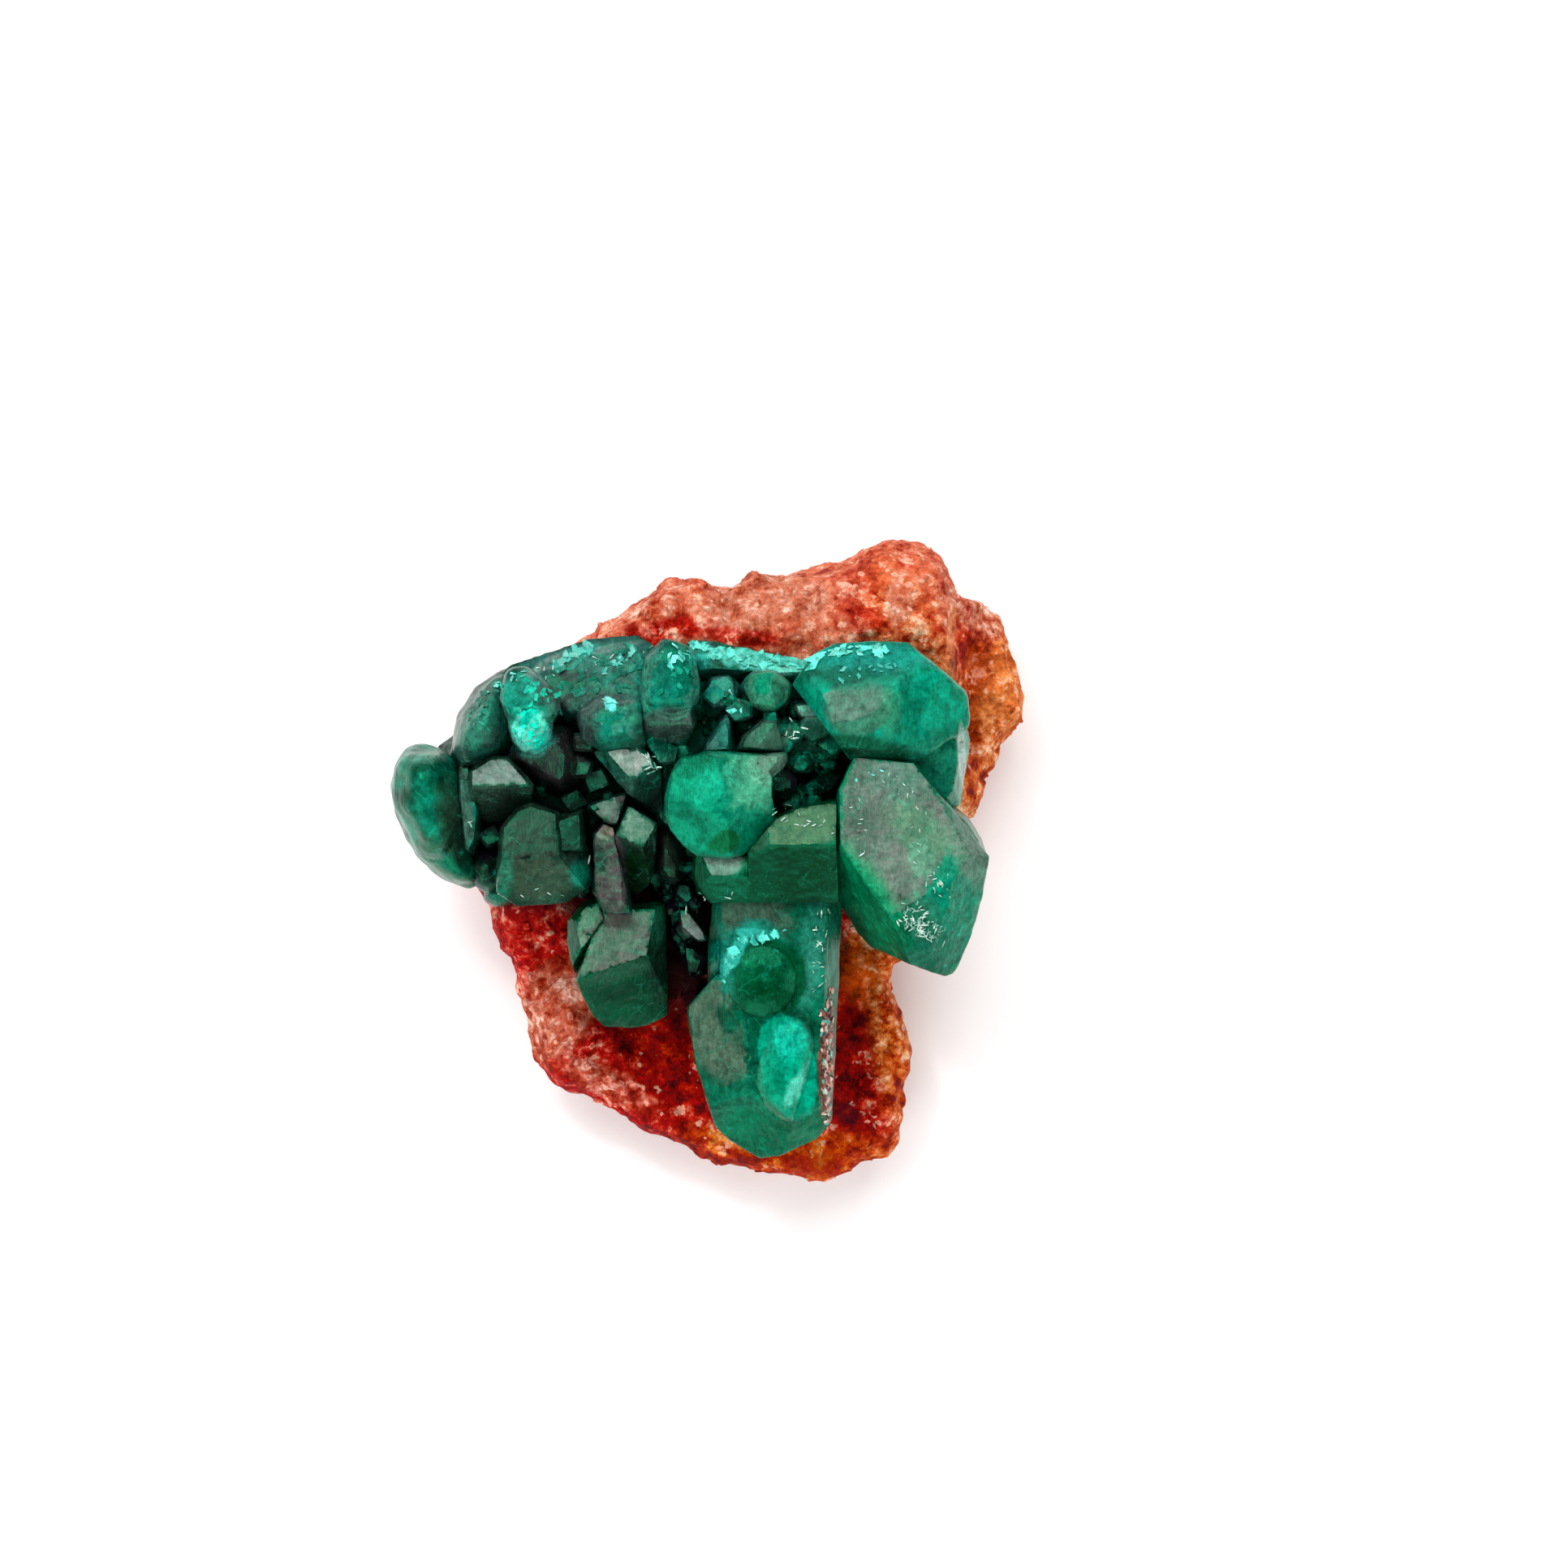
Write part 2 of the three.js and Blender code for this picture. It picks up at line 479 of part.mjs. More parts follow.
function druseCrystal([x, y, radius, top, sides], i) {
  const outline = ring(x, y, radius, radius * 0.85, sides, (i * 47) % 90); // each is turned differently
  const lean = [0.35 * Math.cos(i * 2.4), 0.35 * Math.sin(i * 2.4) - 0.12];
  return { outline, girdle: top - radius * 0.8, top, tilt: lean, base: 12, slope: sides === 8 ? 60 : 80 };
}

// ---------------------------------------------------------------- the rock
// Its footprint, clockwise from the left.
const FOOTPRINT = [
  [-22.4, 5], [-21.8, 8.6], [-19.6, 12.2], [-17.8, 14.6], [-15.2, 16.3], [-12.6, 17.4], [-10.9, 18.2],
  [-9.8, 19], [-8.3, 20.1], [-5, 22.1], [-3.4, 23.2], [-1.2, 23.4], [0.6, 22.8], [1.1, 22.1], [1.7, 22.1],
  [2.4, 23.5], [3.2, 24], [4.5, 23.8], [5.5, 23.6], [8.3, 24.4], [12, 25.3], [13.6, 26.4], [16.3, 26.8],
  [18, 26.4], [19.5, 24.9], [19.9, 23.4], [20.3, 22.2], [22.1, 21.8], [24, 20.6], [24.6, 18.2], [25.6, 15.8],
  [26.2, 13.5], [25.9, 11.9], [24.1, 10.5], [23.6, 8.4], [22.6, 7.2], [22.2, 5.2], [21, 3.6], [19.8, 0.5],
  [18.6, -3], [16.9, -6], [15.3, -8.6], [14.9, -10.1], [15.4, -11.9], [16.7, -14.8], [16.6, -16.8],
  [15.6, -18.8], [15.9, -21.4], [15.4, -22.6], [15.5, -23.9], [14.9, -24.7], [11.8, -24.9], [11, -25.8],
  [9.1, -26.6], [7.4, -26.3], [5.7, -25.6], [1.7, -25.4], [0.2, -25.1], [-1.6, -23.9], [-3.6, -22.7],
  [-5.8, -22.1], [-8.1, -20.6], [-9.8, -19.6], [-11.7, -19.1], [-13, -18.2], [-14.9, -16.5], [-14.9, -15],
  [-15.4, -12.8], [-16.2, -10.6], [-16.4, -9.4], [-16.2, -8.2], [-17.9, -6.1], [-18.6, -3.4], [-19.3, -1.7],
  [-21, 0.6], [-22.2, 2.4],
];

// Height of the rock's upper face along Y, [y, z].
const SPINE = [
  [-27, 7.2], [-20, 8.4], [-12, 8.6], [-5, 9.6], [2, 12.2], [9, 14.2], [16, 16.6], [20, 17], [24, 14.6],
  [27, 11.5],
];

// The wall below the shoulder, [share of the footprint, share of the height].
const WALL = [[0.972, 0.93], [1, 0.72], [0.99, 0.48], [0.96, 0.27], [0.905, 0.1], [BACK_SHARE, 0]];

const perlin = new ImprovedNoise();
const lumps = (x, y, z, size) => perlin.noise(x / size + 11.3, y / size + 4.7, z / size + 7.1);

// Straight-line interpolation through [at, value] pairs.
function between(stops, at) {
  const next = Math.min(Math.max(stops.findIndex(([stop]) => stop >= at), 1), stops.length - 1);
  const [[from, low], [to, high]] = [stops[next - 1], stops[next]];
  return low + ((at - from) / (to - from)) * (high - low);
}

const ramp = (value, from, to) => THREE.MathUtils.smoothstep(value, from, to);
const bump = (x, y, cx, cy, rx, ry) => Math.exp(-(((x - cx) / rx) ** 2 + ((y - cy) / ry) ** 2));

function rockHeight(x, y) {
  let z = between(SPINE, y);
  z -= 5 * ramp(x, 19.6, 21.8) * ramp(y, 2, 9); // the right shoulder is a step lower
  z -= 1.8 * bump(x, 0, 1.5, 0, 1.2, 1) * ramp(y, 17.5, 22); // a cleft runs in from the far rim
  z += 1.3 * bump(x, y, 14, 21, 6, 4); // the far corner swells
  z -= 1.7 * bump(x, y, -1, -15, 5, 5); // a dish on each side of the long prism
  z -= 1.5 * bump(x, y, 12.5, -17, 2.2, 5);
  z += 1.2 * bump(x, y, -12, -14, 3, 4); // the near left lip
  z -= 2.2 * ramp(-x, 17, 23); // it falls away under the left end
  z -= 2 * ramp(x, 15, 20) * ramp(-y, -4, 6); // and under the large crystal
  return z;
}

// How far the footprint reaches from the rock's centre at an angle.
function reachAt(angle) {
  const [dx, dy] = [Math.cos(angle), Math.sin(angle)];
  const reaches = FOOTPRINT.map(([x1, y1], i) => {
    const [x2, y2] = FOOTPRINT[(i + 1) % FOOTPRINT.length];
    const [ax, ay] = [x1 - ROCK_CENTRE[0], y1 - ROCK_CENTRE[1]];
    const [ex, ey] = [x2 - x1, y2 - y1];
    const det = ex * dy - ey * dx;
    const along = (ay * dx - ax * dy) / det;
    return along >= 0 && along <= 1 ? (ex * ay - ey * ax) / det : 0;
  });
  return Math.max(...reaches);
}

function rockSolid() {
  const [cx, cy] = ROCK_CENTRE;
  const shares = Array.from({ length: ROCK_RINGS }, (_, r) => SHOULDER_SHARE * ((r + 1) / ROCK_RINGS) ** 0.8);
  const levels = [...shares.map((share) => [share, 1]), ...WALL];
  const points = [[cx, cy, rockHeight(cx, cy)]];
  levels.forEach(([share, height], level) => {
    for (let spoke = 0; spoke < ROCK_SPOKES; spoke++) {
      const angle = ((spoke + (level % 2) * 0.5) / ROCK_SPOKES) * 2 * Math.PI;
      const reach = reachAt(angle);
      const at = (part) => [cx + Math.cos(angle) * reach * part, cy + Math.sin(angle) * reach * part];
      const [x, y] = at(share);
      const z = rockHeight(...at(Math.min(share, SHOULDER_SHARE))) * height;
      if (height === 1) {
        points.push([x, y, z + 1.1 * lumps(x, y, z, 5.5) + 0.9 * lumps(x, y, z, 2.3)]);
      } else {
        const rough = 0.9 * lumps(x, y, z, 5) + 0.4 * lumps(x, y, z, 2.1) - 0.1;
        const push = share === 1 || height === 0 ? 0 : Math.min(0, rough);
        points.push([x + Math.cos(angle) * push, y + Math.sin(angle) * push, z]);
      }
    }
  });
  points.push([cx, cy, 0]);

  const index = [];
  const id = (level, spoke) => 1 + level * ROCK_SPOKES + (spoke % ROCK_SPOKES);
  const last = levels.length - 1;
  for (let s = 0; s < ROCK_SPOKES; s++) {
    index.push(0, id(0, s), id(0, s + 1));
    for (let l = 0; l < last; l++) {
      const [a, b, c, d] = [id(l, s), id(l, s + 1), id(l + 1, s), id(l + 1, s + 1)];
      if (l % 2) index.push(a, d, b, a, c, d);
      else index.push(a, c, b, b, c, d);
    }
    index.push(points.length - 1, id(last, s + 1), id(last, s));
  }
  const geometry = new THREE.BufferGeometry();
  geometry.setAttribute("position", new THREE.Float32BufferAttribute(points.flat(), 3));
  geometry.setIndex(index);
  return solidOf(geometry);
}

// ---------------------------------------------------------------- the specimen
// Oldest first: each solid stops a gap short of the older ones it has grown against.
const BAND = [...BAND_BACK, ...BAND_FRONT, ...COLUMNS, ...BED, ...DRUSE.map(druseCrystal)];
const SOLIDS = [
  ["long_prism", LONG_PRISM, COLOURS.deep],
  ["right_large_crystal", RIGHT_LARGE, COLOURS.grey],
  ["upper_right_crystal", UPPER_RIGHT, COLOURS.bright],
  ["centre_bright_crystal", CENTRE_BRIGHT, COLOURS.bright],
  ["left_end_crystal", LEFT_END, COLOURS.bright],
  ["left_block_crystals", LEFT_BLOCKS, COLOURS.grey],
  ["lower_left_crystals", LOWER_LEFT, COLOURS.grey],
  ["middle_block_crystal", MIDDLE_BLOCK, COLOURS.deep],
  ["band_crystals", BAND, COLOURS.deep],
];

const specimen = new THREE.Group();
let taken = null;
for (const [name, crystals, colour] of SOLIDS) {
  const whole = joined(crystals.map((spec) => crystal(spec)));
  const solid = taken ? biggestBody(whole.subtract(taken)) : whole;
  specimen.add(meshOf(solid, name, colour, 0.25));
  const swollen = joined(crystals.map((spec) => crystal({ ...spec, grow: GAP })));
  taken = taken ? taken.add(swollen) : swollen;
}
specimen.add(meshOf(biggestBody(rockSolid().subtract(taken)), "matrix_rock", COLOURS.rock, 0.9));

// The origin is on the table, under the middle of the specimen's box.
const box = new THREE.Box3().setFromObject(specimen);
specimen.position.set(-(box.min.x + box.max.x) / 2, -(box.min.y + box.max.y) / 2, -box.min.z);

export default specimen;
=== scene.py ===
"""Dioptase on matrix: a band of green crystals across a lump of red, coarse-grained rock.

The specimen lies on its flat back. Millimetres in the numbers, metres in the meshes.
"""
import math
from contextlib import contextmanager
from random import Random

import bpy
from mathutils import Matrix, Quaternion, Vector
from mathutils.bvhtree import BVHTree


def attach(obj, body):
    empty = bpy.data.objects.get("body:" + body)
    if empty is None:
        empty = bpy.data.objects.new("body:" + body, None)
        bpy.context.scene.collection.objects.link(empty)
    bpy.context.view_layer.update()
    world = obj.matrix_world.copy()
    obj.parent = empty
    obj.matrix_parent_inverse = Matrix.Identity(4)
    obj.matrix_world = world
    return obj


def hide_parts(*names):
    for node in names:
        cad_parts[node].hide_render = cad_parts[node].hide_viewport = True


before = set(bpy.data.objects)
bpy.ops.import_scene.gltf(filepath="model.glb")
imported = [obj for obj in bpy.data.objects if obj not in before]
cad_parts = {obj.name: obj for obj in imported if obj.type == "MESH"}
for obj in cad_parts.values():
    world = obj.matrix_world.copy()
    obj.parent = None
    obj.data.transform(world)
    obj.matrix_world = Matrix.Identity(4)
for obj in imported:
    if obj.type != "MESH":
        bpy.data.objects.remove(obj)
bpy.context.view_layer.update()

bpy.ops.object.select_all(action="DESELECT")
MM = 0.001


# ---- Camera and lights ----
# The camera hangs straight over the specimen and looks down. A big soft box stands on the far
# side, so the faces that lean back carry its sheen, and weak side lights open the shadows.
VIEW_X, VIEW_Y, CAMERA_HEIGHT = 6.07, 6.49, 660
bpy.ops.object.camera_add(
    location=(VIEW_X * MM, VIEW_Y * MM, CAMERA_HEIGHT * MM), rotation=(0, 0, 0))
camera = bpy.context.object
camera.name = "camera"
camera.data.lens = 180
camera.data.sensor_width = 36
camera.data.clip_start = 0.01
bpy.context.scene.camera = camera


def soft_box(name, azimuth, elevation, distance, width, height, power):
    """An area light that stands at an azimuth from +X and faces the specimen. Metres and watts."""
    turn, lift = math.radians(azimuth), math.radians(elevation)
    out = math.cos(lift)
    away = Vector((math.cos(turn) * out, math.sin(turn) * out, math.sin(lift)))
    aim = away.to_track_quat("Z", "Y").to_euler()
    bpy.ops.object.light_add(type="AREA", location=away * distance, rotation=aim)
    light = bpy.context.object
    light.name = name
    light.data.shape = "RECTANGLE"
    light.data.size, light.data.size_y = width, height
    light.data.energy = power


soft_box("far_box", 97, 50, 0.85, 1.0, 0.7, 8.5)
soft_box("near_box", 262, 44, 0.85, 0.9, 0.6, 5.2)
soft_box("left_fill", 184, 34, 0.7, 0.4, 0.3, 1.0)
soft_box("right_fill", -8, 34, 0.7, 0.4, 0.3, 1.0)
soft_box("glint", 122, 56, 0.6, 0.05, 0.05, 0.45)

# The room is bright near the horizon and darker overhead, where the flat faces would mirror it.
ROOM_LOW, ROOM_OVERHEAD, DIM_ABOVE = 0.85, 0.12, 0.8
world = bpy.data.worlds.new("studio")
bpy.context.scene.world = world
world.use_nodes = True
sky = world.node_tree
look = sky.nodes.new("ShaderNodeTexCoord")
split = sky.nodes.new("ShaderNodeSeparateXYZ")
fade = sky.nodes.new("ShaderNodeMapRange")
fade.inputs["From Min"].default_value, fade.inputs["From Max"].default_value = 0.0, DIM_ABOVE
fade.inputs["To Min"].default_value, fade.inputs["To Max"].default_value = ROOM_LOW, ROOM_OVERHEAD
sky.links.new(look.outputs["Generated"], split.inputs[0])
sky.links.new(split.outputs["Z"], fade.inputs["Value"])
sky.links.new(fade.outputs[0], sky.nodes["Background"].inputs["Strength"])
sky.nodes["Background"].inputs["Color"].default_value = (1, 1, 1, 1)
bpy.context.scene.view_settings.view_transform = "Standard"


# ---- The table ----
# A plain white table top, six metres wide, that isn't part of the specimen. Its finish is the
# first one, so the helpers for finishes stand here.
TABLE_SIDE = 6
bpy.ops.mesh.primitive_plane_add(size=TABLE_SIDE, location=(0, 0, 0))
table = bpy.context.object
table.name = "table"


class Wire:
    """A socket in a finish. Sums on it add the Math nodes they stand for."""

    def __init__(self, finish, socket):
        self.finish, self.socket = finish, socket

    def sum(self, operation, first, second):
        return self.finish.node("Math", {"operation": operation}, {0: first, 1: second})

    def __add__(self, other):
        return self.sum("ADD", self, other)

    def __sub__(self, other):
        return self.sum("SUBTRACT", self, other)

    def __rsub__(self, other):
        return self.sum("SUBTRACT", other, self)

    def __mul__(self, other):
        return self.sum("MULTIPLY", self, other)

    __radd__, __rmul__ = __add__, __mul__


class Finish:
    """A material while it is being made. Lengths in its patterns are millimetres."""

    def __init__(self, name, **constants):
        self.material = bpy.data.materials.new(name)
        self.material.use_nodes = True
        self.tree = self.material.node_tree
        self.shader = self.tree.nodes["Principled BSDF"]
        for socket, value in constants.items():
            self.shader.inputs[socket.replace("_", " ")].default_value = value
        place = self.node("TexCoord", {}, {}, "Object")
        self.place = self.node("Mapping", {}, {"Vector": place, "Scale": (1000, 1000, 1000)})
        self.lean = self.node("NewGeometry", {}, {}, "Normal")

    def node(self, kind, settings, sockets, out=0):
        """Any node, by its type, its settings, and the values or links of its sockets."""
        made = self.tree.nodes.new("ShaderNode" + kind)
        for key, value in settings.items():
            if key == "stops":
                while len(made.color_ramp.elements) < len(value):
                    made.color_ramp.elements.new(1)
                for stop, (at, colour) in zip(made.color_ramp.elements, value):
                    stop.position, stop.color = at, colour
            else:
                setattr(made, key, value)
        for key, value in sockets.items():
            if isinstance(value, Wire):
                self.tree.links.new(value.socket, made.inputs[key])
            else:
                made.inputs[key].default_value = value
        return Wire(self, made.outputs[out])

    def feed(self, socket, wire):
        """Links a wire to a socket of the shader."""
        self.tree.links.new(wire.socket, self.shader.inputs[socket])

    def step(self, wire, low, high):
        """0 below low, 1 above high, and smooth between them. It falls if high is the lower."""
        flip = low > high
        sockets = {"Value": wire, "From Min": min(low, high), "From Max": max(low, high)}
        sockets.update({"To Min": 1.0 if flip else 0.0, "To Max": 0.0 if flip else 1.0})
        return self.node("MapRange", {"interpolation_type": "SMOOTHSTEP"}, sockets)

    def cloud(self, size, detail=2.0, rough=0.5, stretch=None, shift=0.0):
        """Soft noise whose lumps are about size across, from 0 to 1 about 0.5.

        Stretch is a turn about Z in radians, then how much denser it is each way.
        """
        place = self.place
        if stretch or shift:
            sockets = {"Vector": place, "Location": (shift, shift, shift)}
            if stretch:
                sockets.update({"Rotation": (0, 0, stretch[0]), "Scale": stretch[1:]})
            place = self.node("Mapping", {}, sockets)
        sockets = {"Vector": place, "Scale": 1.0 / size, "Detail": detail, "Roughness": rough}
        return self.node("TexNoise", {}, sockets)

    def blend(self, mask, below, above):
        """Two colours, mixed by a mask."""
        return self.node("Mix", {"data_type": "RGBA"}, {0: mask, 6: below, 7: above}, 2)

    def ramp(self, wire, *shades):
        """Colours along a wire. A shade is (where, red, green, blue)."""
        stops = [(at, paint(*rgb)) for at, *rgb in shades]
        return self.node("ValToRGB", {"stops": stops}, {"Fac": wire})

    def part(self, colour, which):
        """The red, green or blue of a colour, by 0, 1 or 2."""
        return self.node("SeparateColor", {}, {"Color": colour}, which)

    def patch(self, x, y, rx, ry, soft, ragged, turn=0):
        """A mask that is 1 inside an upright oval and 0 outside it, with a soft, ragged rim."""
        sockets = {"Vector": self.place, "Location": (x, y, 0), "Scale": (rx, ry, 1e6)}
        sockets["Rotation"] = (0, 0, math.radians(turn))
        inside = self.node("Mapping", {"vector_type": "TEXTURE"}, sockets)
        far = self.node("VectorMath", {"operation": "LENGTH"}, {0: inside}, "Value")
        if ragged:
            far = far + (self.ragged - 0.5) * (2 * ragged)
        return self.step(far, 1 + soft, 1 - soft)

    def faces(self, direction, low, high):
        """A mask of the faces that look along a direction, which is one unit long."""
        sides = {0: self.lean, 1: direction}
        along = self.node("VectorMath", {"operation": "DOT_PRODUCT"}, sides, "Value")
        return self.step(along, low, high)


def paint(red, green, blue, gain=0.85):
    """A colour as a screen shows it, 0 to 255, as the share of light that the surface returns."""
    shown = (red / 255, green / 255, blue / 255)
    shares = [c / 12.92 if c < 0.0405 else ((c + 0.055) / 1.055) ** 2.4 for c in shown]
    return tuple(min(share * gain, 1.0) for share in shares) + (1.0,)


f = Finish("white_table", Roughness=0.6)
f.feed("Base Color", f.blend(f.cloud(120), (0.9, 0.9, 0.9, 1), (0.92, 0.92, 0.92, 1)))
table.data.materials.append(f.material)


# ---- The rock ----
# One lump of coarse-grained rock: red and orange feldspar with pale grains. It is broken, not
# cut, so its skin is grains and pits, with a crease on the right. The crystals grew from it.
@contextmanager
def editing():
    """Edit mode for the active mesh, and back out of it."""
    bpy.ops.object.mode_set(mode="EDIT")
    yield
    bpy.ops.object.mode_set(mode="OBJECT")


def copy_of(node, name):
    """The CAD node's solid as a new piece, with its loose triangles merged into one skin."""
    piece = bpy.data.objects.new(name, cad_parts[node].data.copy())
    piece.data.materials.clear()
    bpy.context.scene.collection.objects.link(piece)
    bpy.ops.object.select_all(action="DESELECT")
    piece.select_set(True)
    bpy.context.view_layer.objects.active = piece
    with editing():
        bpy.ops.mesh.select_all(action="SELECT")
        bpy.ops.mesh.remove_doubles(threshold=0.001 * MM)
    return piece


def shape_with(piece, kind, texture=None, **settings):
    """Adds a modifier and applies it. A texture is (kind, size of its lumps, its settings)."""
    modifier = piece.modifiers.new(kind.lower(), kind)
    if texture:
        pattern = bpy.data.textures.new(piece.name, texture[0])
        pattern.noise_scale = texture[1] * MM
        for key, value in texture[2].items():
            setattr(pattern, key, value)
        modifier.texture, modifier.texture_coords = pattern, "LOCAL"
    for key, value in settings.items():
        setattr(modifier, key, value)
    bpy.context.view_layer.objects.active = piece
    bpy.ops.object.modifier_apply(modifier=modifier.name)


def group_where(piece, name, weight):
    """A vertex group, weighted by a rule on each point in millimetres."""
    group = piece.vertex_groups.new(name=name)
    for vertex in piece.data.vertices:
        share = weight(vertex.co / MM)
        if share > 0:
            group.add([vertex.index], min(share, 1.0), "REPLACE")
    return name


def skins_of(solids):
    """The skins of some solids as one, for measuring how near they are."""
    points, faces = [], []
    for solid in solids:
        start = len(points)
        points += [vertex.co.copy() for vertex in solid.data.vertices]
        faces += [[start + corner for corner in face.vertices] for face in solid.data.polygons]
    return BVHTree.FromPolygons(points, faces)


walls = skins_of([solid for node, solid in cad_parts.items() if node != "matrix_rock"])
rock = copy_of("matrix_rock", "rock")
FINEST_LUMP, FLAT_BACK = 0.34, 0.6
shape_with(rock, "REMESH", mode="VOXEL", voxel_size=FINEST_LUMP * MM)
open_skin = group_where(rock, "open_skin", lambda p: (p.z - FLAT_BACK) / 1.5)
shape_with(rock, "SMOOTH", factor=0.5, iterations=4, vertex_group=open_skin)
# Broken ledges, then lumps, then grains: the pattern, its size, its kind, its depth, its middle.
for pattern, size, kind, relief, middle in [
    ("CLOUDS", 4.5, {"noise_depth": 1, "noise_type": "HARD_NOISE"}, 0.9, 0.2),
    ("CLOUDS", 1.5, {"noise_depth": 3}, 0.55, 0.5),
    ("VORONOI", 0.9, {"distance_metric": "DISTANCE"}, 0.28, 0.4),
]:
    shape_with(rock, "DISPLACE", (pattern, size, kind),
               strength=relief * MM, mid_level=middle, vertex_group=open_skin)

# A crease runs down between the broad far face and the lower lobe on its right. It falls off
# steeply on the left, over the lip, and rises slowly over the lobe.
CREASE_X, CREASE_NEAR, CREASE_FAR, CREASE_DEPTH = 19.9, 8.5, 23, 1.7
LIP, LOBE, BOTTOM, RUN_OUT = -0.5, 5, 0.2, 2.0
for vertex in rock.data.vertices:
    x, y, z = vertex.co / MM
    off = x - (CREASE_X + 0.035 * (24 - y) + 0.35 * math.sin(y * 0.9))
    if z > 4 and CREASE_NEAR < y < CREASE_FAR and LIP < off < LOBE:
        ends = min(1.0, (y - CREASE_NEAR) / RUN_OUT, (CREASE_FAR - y) / RUN_OUT)
        fall = (off - LIP) / (BOTTOM - LIP) if off < BOTTOM else (LOBE - off) / (LOBE - BOTTOM)
        vertex.co.z -= CREASE_DEPTH * fall * ends * MM

# The rock meets the crystals that grew from it: its skin near them closes on their walls.
NEAR_WALL, AT_WALL = 0.7, 0.35
for vertex in rock.data.vertices:
    spot, _, _, distance = walls.find_nearest(vertex.co, NEAR_WALL * MM)
    if spot is not None:
        pull = 1.0 - max(0.0, distance / MM - AT_WALL) / (NEAR_WALL - AT_WALL)
        vertex.co += (spot - vertex.co) * (0.9 * min(1.0, pull))
bpy.ops.object.shade_smooth_by_angle(angle=math.radians(50))


